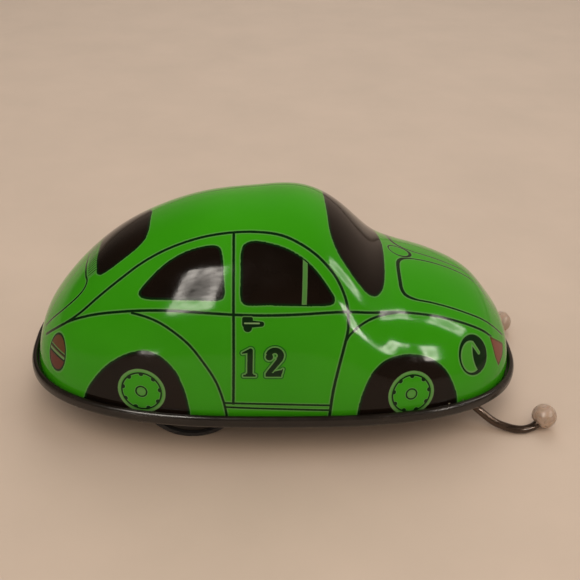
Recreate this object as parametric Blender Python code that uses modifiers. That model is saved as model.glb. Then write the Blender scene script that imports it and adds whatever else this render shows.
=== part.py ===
"""Friction tin car: a pressed tin saloon body on a black pan, with a flywheel
friction motor on the rear axle, a small front axle and a feeler wire in front.

Metres, +Z up. The nose points to +X, the left side is +Y and the right side
is -Y. The pieces are laid out around the middle of the pan's rim, and at the
end all of them move back so that the origin is on the ground under the middle
of the whole length, from the tail of the rim to the front of the balls.
"""
import math

import bmesh
import bpy
import numpy as np
from mathutils import Matrix, Vector

MM = 0.001

# ---- gaps --------------------------------------------------------------
GAP = 0.30 * MM            # between pieces that touch
RUN_GAP = 0.20 * MM        # around a turning shaft

# ---- pan and rim -------------------------------------------------------
RIM_LENGTH = 112.0 * MM
RIM_WIDTH = 61.0 * MM
AXLE_RISE = 2.4 * MM       # underside of the rim bead up to the drive axle
RIM_HEIGHT = 2.7 * MM
RIM_THICK = 1.3 * MM       # bead, in plan
RIM_POWER_FRONT = 2.8      # plan outline: superellipse powers
RIM_POWER_REAR = 2.65
FLOOR_RISE = 0.5 * MM      # bead underside to the floor's underside
FLOOR_THICK = 0.4 * MM

# ---- body shell --------------------------------------------------------
BODY_HEIGHT = 40.2 * MM    # above the underside of the rim
BODY_WALL = 0.4 * MM
# crown line, as (place along the half length, share of the body height)
CROWN = [(-0.974, 0.220), (-0.919, 0.360), (-0.809, 0.542), (-0.662, 0.719),
         (-0.478, 0.861), (-0.276, 0.953), (-0.074, 0.992), (0.110, 0.994),
         (0.257, 0.884), (0.368, 0.744), (0.478, 0.662), (0.607, 0.612),
         (0.735, 0.550), (0.846, 0.458), (0.919, 0.345), (0.972, 0.235)]
# cross-section powers, tail to nose: (place, width power, height power)
SECTION = [(-0.83, 2.2, 2.3), (-0.18, 2.1, 2.2), (0.37, 2.0, 2.2), (0.83, 2.0, 2.2)]
TAB_WIDTH = 4.0 * MM
TAB_THICK = 0.6 * MM
TAB_FOOT = 2.2 * MM        # bent part under the floor
TAB_FROM_ENDS = 16.0 * MM  # outer tabs, from the ends of the body

# ---- drive axle, wheels ------------------------------------------------
REAR_OVERHANG = 37.2 * MM  # tail of the rim to the drive axle
DRIVE_WHEEL_RADIUS = 11.0 * MM
TYRE_THICK = 1.4 * MM
TYRE_WIDTH = 2.4 * MM
WHEEL_DISC = 1.6 * MM
WHEEL_INSET = 9.0 * MM     # side of the rim to the middle of the tyre
AXLE_ROOM = 0.22 * MM      # drive axle to the middle gear's tips
SLOT_CLEAR = 0.9 * MM      # pan slot around a drive wheel

# ---- gear train --------------------------------------------------------
MODULE = 0.5 * MM
AXLE_TEETH = 28
PINION_TEETH = 8
MIDDLE_TEETH = 30
GEAR_TIP = 0.68            # tooth height over the pitch line, in modules
PINION_TIP = 0.84
GEAR_THICK = 1.0 * MM
PINION_THICK = 2.0 * MM
BACKLASH = 0.10 * MM
CENTRE_SPREAD = 0.06 * MM  # extra centre distance
MIDDLE_ANGLE = 50.0        # degrees above +X, axle to middle arbor
FLYWHEEL_ANGLE = 10.0      # degrees above +X, middle arbor to flywheel arbor
ARBOR_RADIUS = 0.75 * MM
STAGE_ONE_Y = 4.0 * MM
STAGE_TWO_Y = -5.0 * MM
FLYWHEEL_ROOM = 0.81 * MM  # flywheel rim to the middle arbor
FLYWHEEL_WIDTH = 5.0 * MM

# ---- motor frame -------------------------------------------------------
PLATE_Y = 8.0 * MM         # inner face of each side plate
PLATE_THICK = 0.8 * MM
PLATE_LIFT = 0.3 * MM       # plate's lower edge over the underside of its feet
FOOT_LENGTH = 5.6 * MM
FOOT_WIDTH = 4.4 * MM
PILLAR_RADIUS = 1.5 * MM
PILLAR_PIN = 0.8 * MM
RIVET_SHANK = 0.6 * MM
RIVET_HEAD = 1.3 * MM
RIVET_HEAD_THICK = 0.5 * MM

# ---- front axle --------------------------------------------------------
FRONT_OVERHANG = 29.0 * MM
FRONT_ROOM = 1.1 * MM      # front wheels to the pan's floor
FRONT_WHEEL_WIDTH = 2.4 * MM
FRONT_AXLE_RADIUS = 0.75 * MM
BRACKET_HALF_WIDTH = 10.0 * MM
BRACKET_THICK = 0.6 * MM
BRACKET_LENGTH = 9.0 * MM

# ---- feeler ------------------------------------------------------------
FEELER_OVERHANG = 13.5 * MM    # nose of the rim back to the wire's cross bar
WIRE_RADIUS = 0.9 * MM
BALL_RADIUS = 2.8 * MM
CLIP_Y = 11.5 * MM
CLIP_WIDTH = 4.0 * MM
CLIP_THICK = 0.5 * MM

# ---- derived -----------------------------------------------------------
HALF_L = RIM_LENGTH / 2
HALF_W = RIM_WIDTH / 2
BODY_INSET = RIM_THICK + GAP
BODY_HALF_L = HALF_L - BODY_INSET
BODY_HALF_W = HALF_W - BODY_INSET
RIM_BOTTOM_Z = DRIVE_WHEEL_RADIUS - AXLE_RISE
FLOOR_UNDER_Z = RIM_BOTTOM_Z + FLOOR_RISE
FLOOR_TOP_Z = FLOOR_UNDER_Z + FLOOR_THICK
BODY_EDGE_Z = FLOOR_TOP_Z + GAP
AXLE_X = -HALF_L + REAR_OVERHANG
AXLE_Z = DRIVE_WHEEL_RADIUS
WHEEL_Y = HALF_W - WHEEL_INSET
FRONT_X = HALF_L - FRONT_OVERHANG
FRONT_WHEEL_RADIUS = (FLOOR_UNDER_Z - FRONT_ROOM) / 2
FRONT_Z = FRONT_WHEEL_RADIUS
FEELER_X = HALF_L - FEELER_OVERHANG
FEELER_Z = FLOOR_UNDER_Z - GAP - WIRE_RADIUS - CLIP_THICK


def pitch_radius(teeth):
    return MODULE * teeth / 2


STAGE_ONE = pitch_radius(AXLE_TEETH) + pitch_radius(PINION_TEETH) + CENTRE_SPREAD
STAGE_TWO = pitch_radius(MIDDLE_TEETH) + pitch_radius(PINION_TEETH) + CENTRE_SPREAD
AXLE_RADIUS = STAGE_ONE - pitch_radius(MIDDLE_TEETH) - GEAR_TIP * MODULE - AXLE_ROOM
FLYWHEEL_RADIUS = STAGE_TWO - ARBOR_RADIUS - FLYWHEEL_ROOM
MIDDLE_X = AXLE_X + STAGE_ONE * math.cos(math.radians(MIDDLE_ANGLE))
MIDDLE_Z = AXLE_Z + STAGE_ONE * math.sin(math.radians(MIDDLE_ANGLE))
FLY_X = MIDDLE_X + STAGE_TWO * math.cos(math.radians(FLYWHEEL_ANGLE))
FLY_Z = MIDDLE_Z + STAGE_TWO * math.sin(math.radians(FLYWHEEL_ANGLE))

for old in list(bpy.data.objects):
    bpy.data.objects.remove(old, do_unlink=True)

car = bpy.data.collections.new("friction_tin_car")
tools = bpy.data.collections.new("cutters")
bpy.context.scene.collection.children.link(car)
bpy.context.scene.collection.children.link(tools)


# ---- materials ---------------------------------------------------------
def material(name, colour, roughness, metallic):
    mat = bpy.data.materials.new(name)
    mat.use_nodes = True
    shader = mat.node_tree.nodes["Principled BSDF"]
    shader.inputs["Base Color"].default_value = (*colour, 1.0)
    shader.inputs["Roughness"].default_value = roughness
    shader.inputs["Metallic"].default_value = metallic
    return mat


LOOKS = {
    "print": ((0.05, 0.62, 0.03), 0.15, 0.0),
    "black_tin": ((0.012, 0.009, 0.008), 0.25, 0.0),
    "rubber": ((0.015, 0.014, 0.013), 0.75, 0.0),
    "steel": ((0.55, 0.54, 0.52), 0.30, 1.0),
    "tin": ((0.62, 0.60, 0.56), 0.35, 1.0),
    "brass": ((0.72, 0.52, 0.22), 0.35, 1.0),
    "zinc": ((0.42, 0.42, 0.43), 0.50, 1.0),
    "dark_wire": ((0.05, 0.035, 0.03), 0.35, 0.8),
    "milky": ((0.80, 0.72, 0.62), 0.30, 0.0),
    "black_plastic": ((0.02, 0.02, 0.02), 0.40, 0.0),
}


def finish(obj, look, smooth=True):
    """Give the piece its own material and put it in the car's collection."""
    obj.data.materials.clear()
    obj.data.materials.append(material(obj.name + "_" + look, *LOOKS[look]))
    if smooth:
        obj.data.shade_smooth()
        obj.data.set_sharp_from_angle(angle=math.radians(35))
    if obj.name not in car.objects:
        car.objects.link(obj)
    return obj


def cutter(mesh_obj):
    tools.objects.link(mesh_obj)
    mesh_obj.hide_render = True
    mesh_obj.display_type = "WIRE"
    return mesh_obj


def boolean(obj, tool, operation):
    mod = obj.modifiers.new(operation.lower() + "_" + tool.name, "BOOLEAN")
    mod.operation = operation
    mod.object = tool
    mod.solver = "EXACT"


def new_object(name, bm):
    bmesh.ops.recalc_face_normals(bm, faces=bm.faces)
    mesh = bpy.data.meshes.new(name)
    bm.to_mesh(mesh)
    bm.free()
    return bpy.data.objects.new(name, mesh)


# ---- shapes ------------------------------------------------------------
def box(name, size, centre, turn_z=0.0):
    bm = bmesh.new()
    bmesh.ops.create_cube(bm, size=1.0)
    bmesh.ops.scale(bm, vec=Vector(size), verts=bm.verts)
    obj = new_object(name, bm)
    obj.location = centre
    obj.rotation_euler = (0, 0, turn_z)
    return obj


def rod(name, radius, length, sides=16):
    """A plain round bar along Y, centred on its own origin."""
    bm = bmesh.new()
    bmesh.ops.create_cone(bm, cap_ends=True, segments=sides, radius1=radius,
                          radius2=radius, depth=length)
    bmesh.ops.rotate(bm, verts=bm.verts, cent=(0, 0, 0), matrix=rotation_x(math.radians(90)))
    return new_object(name, bm)


def rotation_x(angle):
    c = math.cos(angle)
    s = math.sin(angle)
    return Matrix(((1, 0, 0), (0, c, -s), (0, s, c)))


def as_mesh(name, obj):
    """Turn a curve object into a welded mesh object of the same place."""
    bpy.context.scene.collection.objects.link(obj)
    bpy.context.view_layer.update()
    graph = bpy.context.evaluated_depsgraph_get()
    mesh = bpy.data.meshes.new_from_object(obj.evaluated_get(graph))
    bm = bmesh.new()
    bm.from_mesh(mesh)
    bmesh.ops.remove_doubles(bm, verts=bm.verts, dist=1e-6)
    bmesh.ops.recalc_face_normals(bm, faces=bm.faces)
    bm.to_mesh(mesh)
    bm.free()
    out = bpy.data.objects.new(name, mesh)
    out.matrix_world = obj.matrix_world.copy()
    bpy.data.objects.remove(obj, do_unlink=True)
    mesh.name = name
    return out


def flat(name, loops, thickness):
    """A flat outline in X and Z, its holes included, as thick as said along Y."""
    curve = bpy.data.curves.new(name + "_outline", "CURVE")
    curve.dimensions = "2D"
    curve.fill_mode = "BOTH"
    curve.extrude = thickness / 2
    for loop in loops:
        spline = curve.splines.new("POLY")
        spline.points.add(len(loop) - 1)
        for point, (x, z) in zip(spline.points, loop):
            point.co = (x, z, 0, 1)
        spline.use_cyclic_u = True
    obj = as_mesh(name, bpy.data.objects.new(name + "_curve", curve))
    obj.data.transform(rotation_x(math.radians(90)).to_4x4())
    return obj


def circle(radius, sides, centre=(0.0, 0.0), start=0.0):
    out = []
    for i in range(sides):
        a = start + 2 * math.pi * i / sides
        out.append((centre[0] + radius * math.cos(a), centre[1] + radius * math.sin(a)))
    return out


def turned(name, profile, steps, closed=False, upright=False):
    """A turned piece: (radius, place along the axis), from +axis downward."""
    mesh = bpy.data.meshes.new(name)
    verts = [(r, 0, h) for r, h in profile]
    edges = [(i, i + 1) for i in range(len(profile) - 1)]
    if closed:
        edges.append((len(profile) - 1, 0))
    mesh.from_pydata(verts, edges, [])
    obj = bpy.data.objects.new(name, mesh)
    screw = obj.modifiers.new("turn", "SCREW")
    screw.axis = "Z"
    screw.angle = math.radians(360)
    screw.steps = steps
    screw.render_steps = steps
    screw.use_merge_vertices = True
    screw.merge_threshold = 0.00001
    screw.use_smooth_shade = True
    if not upright:
        obj.rotation_euler = (math.radians(-90), 0, 0)
    return obj


def tube(name, points, radius):
    """A round wire through the points, with flat ends."""
    curve = bpy.data.curves.new(name + "_path", "CURVE")
    curve.dimensions = "3D"
    curve.bevel_depth = radius
    curve.bevel_resolution = 2
    curve.use_fill_caps = True
    spline = curve.splines.new("POLY")
    spline.points.add(len(points) - 1)
    for point, co in zip(spline.points, points):
        point.co = (*co, 1)
    return as_mesh(name, bpy.data.objects.new(name + "_curve", curve))


def smooth_path(points, per_span):
    """Points on a smooth curve through the given ones."""
    pts = [np.array(p) for p in points]
    pts = [2 * pts[0] - pts[1]] + pts + [2 * pts[-1] - pts[-2]]
    out = []
    for i in range(1, len(pts) - 2):
        p0, p1, p2, p3 = pts[i - 1:i + 3]
        for k in range(per_span):
            t = k / per_span
            out.append(0.5 * (2 * p1 + (p2 - p0) * t + (2 * p0 - 5 * p1 + 4 * p2 - p3) * t ** 2
                              + (3 * p1 - p0 - 3 * p2 + p3) * t ** 3))
    out.append(pts[-2])
    return out


# ---- outline and crown of the body -------------------------------------
def power_at(x):
    return RIM_POWER_FRONT if x > 0 else RIM_POWER_REAR


def outline(half_l, half_w, angle):
    c = math.cos(angle)
    s = math.sin(angle)
    n = 2 / power_at(c)
    return (half_l * math.copysign(abs(c) ** n, c), half_w * math.copysign(abs(s) ** n, s))


def half_width(half_l, half_w, x):
    n = power_at(x)
    return half_w * max(1 - abs(x / half_l) ** n, 0) ** (1 / n)


def spline_fit(knots, values):
    """Natural cubic spline through the knots; returns a function."""
    n = len(knots)
    h = np.diff(knots)
    a = np.zeros((n, n))
    b = np.zeros(n)
    a[0, 0] = 1
    a[-1, -1] = 1
    for i in range(1, n - 1):
        a[i, i - 1] = h[i - 1]
        a[i, i] = 2 * (h[i - 1] + h[i])
        a[i, i + 1] = h[i]
        b[i] = 6 * ((values[i + 1] - values[i]) / h[i] - (values[i] - values[i - 1]) / h[i - 1])
    m = np.linalg.solve(a, b)

    def value(t):
        i = int(np.clip(np.searchsorted(knots, t) - 1, 0, n - 2))
        u = t - knots[i]
        w = knots[i + 1] - t
        return ((m[i] * w ** 3 + m[i + 1] * u ** 3) / (6 * h[i])
                + (values[i] / h[i] - m[i] * h[i] / 6) * w
                + (values[i + 1] / h[i] - m[i + 1] * h[i] / 6) * u)
    return value


_knots = np.array([-math.pi / 2] + [math.asin(k) for k, _ in CROWN] + [math.pi / 2])
_heights = np.array([0.0] + [v for _, v in CROWN] + [0.0])
_crown = spline_fit(_knots, _heights)


def body_height(x, y):
    """Height of the outer skin above the rim's underside."""
    u = max(-1.0, min(1.0, x / BODY_HALF_L))
    top = BODY_HEIGHT * _crown(math.asin(u))
    w = half_width(BODY_HALF_L, BODY_HALF_W, x)
    share = min(abs(y) / w, 1.0) if w > 1e-9 else 1.0
    p = np.interp(u, [s[0] for s in SECTION], [s[1] for s in SECTION])
    q = np.interp(u, [s[0] for s in SECTION], [s[2] for s in SECTION])
    return top * max(1 - share ** p, 0) ** (1 / q)


def body_point(angle, rho):
    bx, by = outline(BODY_HALF_L, BODY_HALF_W, angle)
    x = bx * rho
    y = by * rho
    return x, y, RIM_BOTTOM_Z + body_height(x, y)


def edge_rho(angle):
    """Where the skin comes down to the body's lower edge."""
    low = 0.5
    high = 1.0
    for _ in range(40):
        mid = (low + high) / 2
        if body_point(angle, mid)[2] > BODY_EDGE_Z:
            low = mid
        else:
            high = mid
    return low


def loft(name, rings, cap_start=True, cap_end=True):
    bm = bmesh.new()
    rows = [[bm.verts.new(p) for p in ring] for ring in rings]
    count = len(rings[0])
    for lower, upper in zip(rows[:-1], rows[1:]):
        for i in range(count):
            j = (i + 1) % count
            bm.faces.new((lower[i], lower[j], upper[j], upper[i]))
    if cap_start:
        bm.faces.new(list(reversed(rows[0])))
    if cap_end:
        bm.faces.new(rows[-1])
    return new_object(name, bm)


# ---- pan ---------------------------------------------------------------
SEGMENTS = 64


def pan_ring(inset, height):
    ring = []
    for i in range(SEGMENTS):
        a = 2 * math.pi * i / SEGMENTS
        x, y = outline(HALF_L - inset, HALF_W - inset, a)
        ring.append((x, y, RIM_BOTTOM_Z + height))
    return ring


pan_section = [(RIM_THICK + 2 * MM, FLOOR_RISE), (RIM_THICK * 0.95, FLOOR_RISE),
               (RIM_THICK * 0.80, 0.0), (RIM_THICK * 0.35, 0.0),
               (0.0, RIM_HEIGHT * 0.30), (0.0, RIM_HEIGHT * 0.68),
               (RIM_THICK * 0.35, RIM_HEIGHT), (RIM_THICK * 0.80, RIM_HEIGHT),
               (RIM_THICK, RIM_HEIGHT * 0.85), (RIM_THICK, FLOOR_RISE + FLOOR_THICK),
               (RIM_THICK + 2 * MM, FLOOR_RISE + FLOOR_THICK)]
base_plate = loft("base_plate", [pan_ring(i, h) for i, h in pan_section])


def cut_hole(target, name, tool):
    tool.name = name
    cutter(tool)
    boolean(target, tool, "DIFFERENCE")


# body tabs stand at the same places as their slots in the pan
def tab_frames():
    frames = []
    outer = BODY_HALF_L - TAB_FROM_ENDS
    for x in (-outer, AXLE_X + DRIVE_WHEEL_RADIUS + 15 * MM, outer):
        for side in (-1, 1):
            y = side * half_width(BODY_HALF_L, BODY_HALF_W, x)
            step = 0.2 * MM
            y2 = side * half_width(BODY_HALF_L, BODY_HALF_W, x + step)
            turn = math.atan2(y2 - y, step)
            inward = Vector((math.sin(turn), -math.cos(turn), 0)) * side
            frames.append((Vector((x, y, 0)), turn, inward))
    return frames


TAB_CENTRE_IN = TAB_THICK / 2 + 0.1 * MM
BODY_SEGMENTS = 60
BODY_RINGS = 11
bm = bmesh.new()
crown = bm.verts.new(body_point(0.0, 0.0))
rows = []
for k in range(1, BODY_RINGS + 1):
    row = []
    for i in range(BODY_SEGMENTS):
        a = 2 * math.pi * i / BODY_SEGMENTS
        rho = edge_rho(a) * math.sin(0.5 * math.pi * k / BODY_RINGS)
        row.append(bm.verts.new(body_point(a, rho)))
    rows.append(row)
for i in range(BODY_SEGMENTS):
    j = (i + 1) % BODY_SEGMENTS
    bm.faces.new((crown, rows[0][i], rows[0][j]))
    for k in range(BODY_RINGS - 1):
        bm.faces.new((rows[k][i], rows[k + 1][i], rows[k + 1][j], rows[k][j]))
body_shell = new_object("body_shell", bm)
wall = body_shell.modifiers.new("tin", "SOLIDIFY")
wall.thickness = BODY_WALL
wall.offset = -1
wall.use_even_offset = False

for n, (place, turn, inward) in enumerate(tab_frames()):
    top = BODY_EDGE_Z + 1.2 * MM
    foot_top = FLOOR_UNDER_Z - GAP
    foot_thick = 0.4 * MM
    leg = box("tab_leg_%d" % n, (TAB_WIDTH, TAB_THICK, top - (foot_top - foot_thick)),
              place + inward * TAB_CENTRE_IN
              + Vector((0, 0, (top + foot_top - foot_thick) / 2)), turn)
    foot = box("tab_foot_%d" % n, (TAB_WIDTH * 0.95, TAB_FOOT, foot_thick * 0.9),
               place + inward * (TAB_CENTRE_IN + TAB_FOOT / 2 - 0.05 * MM)
               + Vector((0, 0, foot_top - foot_thick / 2)), turn)
    for tool in (leg, foot):
        cutter(tool)
        boolean(body_shell, tool, "UNION")
    slot = box("tab_slot_%d" % n, (TAB_WIDTH + 2 * GAP, TAB_THICK + 2 * 0.25 * MM, 4 * MM),
               place + inward * (TAB_CENTRE_IN + 0.05 * MM) + Vector((0, 0, FLOOR_UNDER_Z)), turn)
    cut_hole(base_plate, "tab_slot_%d" % n, slot)

# drive wheel slots and the motor window
drop = AXLE_Z - FLOOR_UNDER_Z
chord = math.sqrt(max(DRIVE_WHEEL_RADIUS ** 2 - min(abs(drop), DRIVE_WHEEL_RADIUS) ** 2, 0))
for side, label in ((1, "left"), (-1, "right")):
    cut_hole(base_plate, "wheel_slot_" + label,
             box("slot", (2 * (DRIVE_WHEEL_RADIUS + SLOT_CLEAR), TYRE_WIDTH + 2 * SLOT_CLEAR, 4 * MM),
                 (AXLE_X, side * WHEEL_Y, FLOOR_UNDER_Z)))
PLATE_OUT = PLATE_Y + PLATE_THICK
cut_hole(base_plate, "motor_window",
         box("window", (16 * MM, 2 * (PLATE_OUT + 0.6 * MM), 4 * MM),
             (AXLE_X, 0, FLOOR_UNDER_Z)))


# ---- rivets ------------------------------------------------------------
def rivet(name, x, y, z_low, z_high, look):
    """A rivet that clamps from z_low to z_high, with a gap under each head."""
    low = z_low - GAP
    high = z_high + GAP
    t = RIVET_HEAD_THICK
    profile = [(0, high + t), (RIVET_HEAD * 0.6, high + t), (RIVET_HEAD, high + t * 0.4),
               (RIVET_HEAD, high), (RIVET_SHANK, high), (RIVET_SHANK, low), (RIVET_HEAD, low),
               (RIVET_HEAD, low - t * 0.5), (RIVET_HEAD * 0.7, low - t), (0, low - t)]
    obj = turned(name, profile, 10, upright=True)
    obj.location = (x, y, 0)
    return finish(obj, look)


def rivet_hole(target, name, x, y, z):
    tool = turned("hole", [(0, 2 * MM), (RIVET_SHANK + GAP, 2 * MM),
                           (RIVET_SHANK + GAP, -2 * MM), (0, -2 * MM)], 12, upright=True)
    tool.location = (x, y, z)
    cut_hole(target, name, tool)


# ---- gears -------------------------------------------------------------
def involute(angle):
    return math.tan(angle) - angle


def gear_loop(teeth, start):
    """Tooth outline; start is the direction of one tooth's middle."""
    r = pitch_radius(teeth)
    base = r * math.cos(math.radians(20))
    small = teeth < 12
    tip = r + (PINION_TIP if small else GEAR_TIP) * MODULE
    root = r - (1.04 if small else 1.20) * MODULE
    half = (math.pi * MODULE / 2 - BACKLASH) / (2 * r)
    radii = [root, max(base, r - 0.24 * MODULE), r + 0.24 * MODULE, tip] if small else [root, r, tip]
    points = []
    for n in range(teeth):
        middle = start + 2 * math.pi * n / teeth
        sides = []
        for rho in radii:
            tilt = involute(math.acos(min(base / rho, 1.0)))
            a = half + involute(math.radians(20)) - tilt
            if rho < base:
                a = half * (0.62 if small else 1.0)
            sides.append((rho, a))
        for rho, a in sides:
            points.append((rho * math.cos(middle - a), rho * math.sin(middle - a)))
        for rho, a in reversed(sides):
            points.append((rho * math.cos(middle + a), rho * math.sin(middle + a)))
    return points


def gear(name, teeth, start, thick, bore, place, look, windows=0):
    loops = [gear_loop(teeth, start), circle(bore + RUN_GAP, 14)]
    if windows:
        ring = pitch_radius(teeth) * 0.56
        for n in range(windows):
            a = 2 * math.pi * n / windows
            loops.append(circle(pitch_radius(teeth) * 0.2, 10, (ring * math.cos(a), ring * math.sin(a))))
    obj = flat(name, loops, thick)
    obj.location = place
    return finish(obj, look)


def axis_empty(name, x, y, z):
    empty = bpy.data.objects.new(name, None)
    empty.empty_display_size = 4 * MM
    empty.location = (x, y, z)
    car.objects.link(empty)
    return empty


def hang(obj, empty):
    obj.location = Vector(obj.location) - Vector(empty.location)
    obj.parent = empty


drive = axis_empty("drive_axis", AXLE_X, 0, AXLE_Z)
middle = axis_empty("middle_axis", MIDDLE_X, 0, MIDDLE_Z)
fly = axis_empty("flywheel_axis", FLY_X, 0, FLY_Z)
front = axis_empty("front_axis", FRONT_X, 0, FRONT_Z)
feeler = axis_empty("feeler_axis", FEELER_X, 0, FEELER_Z)

toward_middle = math.radians(MIDDLE_ANGLE)
toward_fly = math.radians(FLYWHEEL_ANGLE)
half_pinion = math.pi / PINION_TEETH
half_middle = math.pi / MIDDLE_TEETH
first_pinion_start = toward_middle + math.pi + half_pinion
moving = []
moving.append((gear("axle_gear", AXLE_TEETH, toward_middle, GEAR_THICK, AXLE_RADIUS,
                    (AXLE_X, STAGE_ONE_Y, AXLE_Z), "tin", 4), drive))
moving.append((gear("middle_pinion", PINION_TEETH, first_pinion_start, PINION_THICK, ARBOR_RADIUS,
                    (MIDDLE_X, STAGE_ONE_Y, MIDDLE_Z), "brass"), middle))
moving.append((gear("middle_gear", MIDDLE_TEETH, toward_fly, GEAR_THICK, ARBOR_RADIUS,
                    (MIDDLE_X, STAGE_TWO_Y, MIDDLE_Z), "tin", 4), middle))
moving.append((gear("flywheel_pinion", PINION_TEETH, toward_fly + math.pi + half_pinion,
                    PINION_THICK, ARBOR_RADIUS, (FLY_X, STAGE_TWO_Y, FLY_Z), "brass"), fly))

# ---- shafts ------------------------------------------------------------
axle_length = 2 * (WHEEL_Y + TYRE_WIDTH / 2 + 0.6 * MM)
for name, radius, length, x, z, axis in (
        ("drive_axle", AXLE_RADIUS, axle_length, AXLE_X, AXLE_Z, drive),
        ("middle_arbor", ARBOR_RADIUS, 2 * (PLATE_OUT + 0.8 * MM), MIDDLE_X, MIDDLE_Z, middle),
        ("flywheel_arbor", ARBOR_RADIUS, 2 * (PLATE_OUT + 0.8 * MM), FLY_X, FLY_Z, fly)):
    shaft = rod(name, radius, length, 14)
    shaft.location = (x, 0, z)
    moving.append((finish(shaft, "steel"), axis))

bore = ARBOR_RADIUS + RUN_GAP
w = FLYWHEEL_WIDTH / 2
flywheel = turned("flywheel", [(bore, w), (3 * MM, w), (3.4 * MM, w - 0.9 * MM),
                               (FLYWHEEL_RADIUS - 2.4 * MM, w - 0.9 * MM), (FLYWHEEL_RADIUS - 2 * MM, w),
                               (FLYWHEEL_RADIUS, w), (FLYWHEEL_RADIUS, -w),
                               (FLYWHEEL_RADIUS - 2 * MM, -w), (FLYWHEEL_RADIUS - 2.4 * MM, -w + 0.9 * MM),
                               (3.4 * MM, -w + 0.9 * MM), (3 * MM, -w), (bore, -w)], 28, closed=True)
flywheel.location = (FLY_X, 0, FLY_Z)
moving.append((finish(flywheel, "zinc"), fly))

# ---- drive wheels ------------------------------------------------------
rim_r = DRIVE_WHEEL_RADIUS - TYRE_THICK
for side, label in ((1, "left"), (-1, "right")):
    hub = AXLE_RADIUS + RUN_GAP
    d = WHEEL_DISC / 2
    wheel = turned("drive_wheel_" + label,
                   [(hub, d + 0.4 * MM), (2.6 * MM, d + 0.4 * MM), (3.2 * MM, d - 0.4 * MM),
                    (rim_r - 2 * MM, d - 0.4 * MM), (rim_r - 1.2 * MM, d), (rim_r, d), (rim_r, -d),
                    (rim_r - 1.2 * MM, -d), (rim_r - 2 * MM, -d + 0.4 * MM),
                    (3.2 * MM, -d + 0.4 * MM), (2.6 * MM, -d - 0.4 * MM), (hub, -d - 0.4 * MM)],
                   28, closed=True)
    wheel.location = (AXLE_X, side * WHEEL_Y, AXLE_Z)
    moving.append((finish(wheel, "black_tin"), drive))
    t = TYRE_WIDTH / 2
    tyre = turned("drive_tyre_" + label,
                  [(rim_r + GAP, t), (DRIVE_WHEEL_RADIUS - 0.4 * MM, t), (DRIVE_WHEEL_RADIUS, t - 0.4 * MM),
                   (DRIVE_WHEEL_RADIUS, -t + 0.4 * MM), (DRIVE_WHEEL_RADIUS - 0.4 * MM, -t),
                   (rim_r + GAP, -t)], 32, closed=True)
    tyre.location = (AXLE_X, side * WHEEL_Y, AXLE_Z)
    moving.append((finish(tyre, "rubber"), drive))

# ---- motor plates ------------------------------------------------------
plate_foot_z = FLOOR_TOP_Z + GAP
rear_x = AXLE_X - 9.0 * MM
nose_x = FLY_X + FLYWHEEL_RADIUS + 5.0 * MM
top_z = max(MIDDLE_Z, FLY_Z) + 7.6 * MM
ear = FOOT_LENGTH
plate_low = plate_foot_z + PLATE_LIFT
plate_loop = [(rear_x - ear, plate_low), (rear_x - ear, plate_foot_z + 1.6 * MM),
              (rear_x - 0.6 * MM, plate_foot_z + 4.0 * MM), (rear_x, AXLE_Z + 8.0 * MM),
              (rear_x + 2 * MM, AXLE_Z + 12.0 * MM), (rear_x + 5 * MM, top_z - 2.5 * MM),
              (MIDDLE_X - 2 * MM, top_z), (FLY_X + 4 * MM, top_z), (nose_x - 1.5 * MM, top_z - 1.5 * MM),
              (nose_x, top_z - 4 * MM), (nose_x, plate_low), (AXLE_X + 6.0 * MM, plate_low),
              (AXLE_X + 4.0 * MM, AXLE_Z - 2.6 * MM), (AXLE_X + 2.0 * MM, AXLE_Z - 3.4 * MM),
              (AXLE_X - 2.0 * MM, AXLE_Z - 3.4 * MM), (AXLE_X - 4.0 * MM, AXLE_Z - 2.6 * MM),
              (AXLE_X - 6.0 * MM, plate_low)]
pillars = {"rear": (rear_x + 3.6 * MM, AXLE_Z + 10.2 * MM),
           "front": (nose_x - 2.4 * MM, FLY_Z + 4.6 * MM),
           "lower": (nose_x - 2.6 * MM, plate_foot_z + 3.0 * MM)}
feet = {"rear": rear_x - ear / 2 + 0.4 * MM, "front": nose_x - ear / 2}
FOOT_RIVET_Y = PLATE_OUT + FOOT_WIDTH / 2
for side, label in ((1, "left"), (-1, "right")):
    holes = [circle(AXLE_RADIUS + RUN_GAP, 14, (AXLE_X, AXLE_Z)),
             circle(ARBOR_RADIUS + RUN_GAP, 14, (MIDDLE_X, MIDDLE_Z)),
             circle(ARBOR_RADIUS + RUN_GAP, 14, (FLY_X, FLY_Z))]
    holes += [circle(PILLAR_PIN + GAP, 12, p) for p in pillars.values()]
    plate = flat("motor_plate_" + label, [plate_loop] + holes, PLATE_THICK)
    plate.location = (0, side * (PLATE_Y + PLATE_THICK / 2), 0)
    for end, fx in feet.items():
        pad = box("pad_%s_%s" % (end, label),
                  (ear - 0.2 * MM, FOOT_WIDTH + PLATE_THICK * 0.5, PLATE_THICK),
                  (fx, side * (PLATE_OUT - PLATE_THICK * 0.25 + FOOT_WIDTH / 2),
                   plate_foot_z + PLATE_THICK / 2))
        cutter(pad)
        boolean(plate, pad, "UNION")
        rivet_hole(plate, "pad_hole_%s_%s" % (end, label), fx, side * FOOT_RIVET_Y, plate_foot_z)
        rivet_hole(base_plate, "pan_hole_%s_%s" % (end, label), fx, side * FOOT_RIVET_Y, FLOOR_TOP_Z)
        rivet("motor_rivet_%s_%s" % (end, label), fx, side * FOOT_RIVET_Y, FLOOR_UNDER_Z,
              plate_foot_z + PLATE_THICK, "steel")
    finish(plate, "tin", smooth=False)

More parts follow.
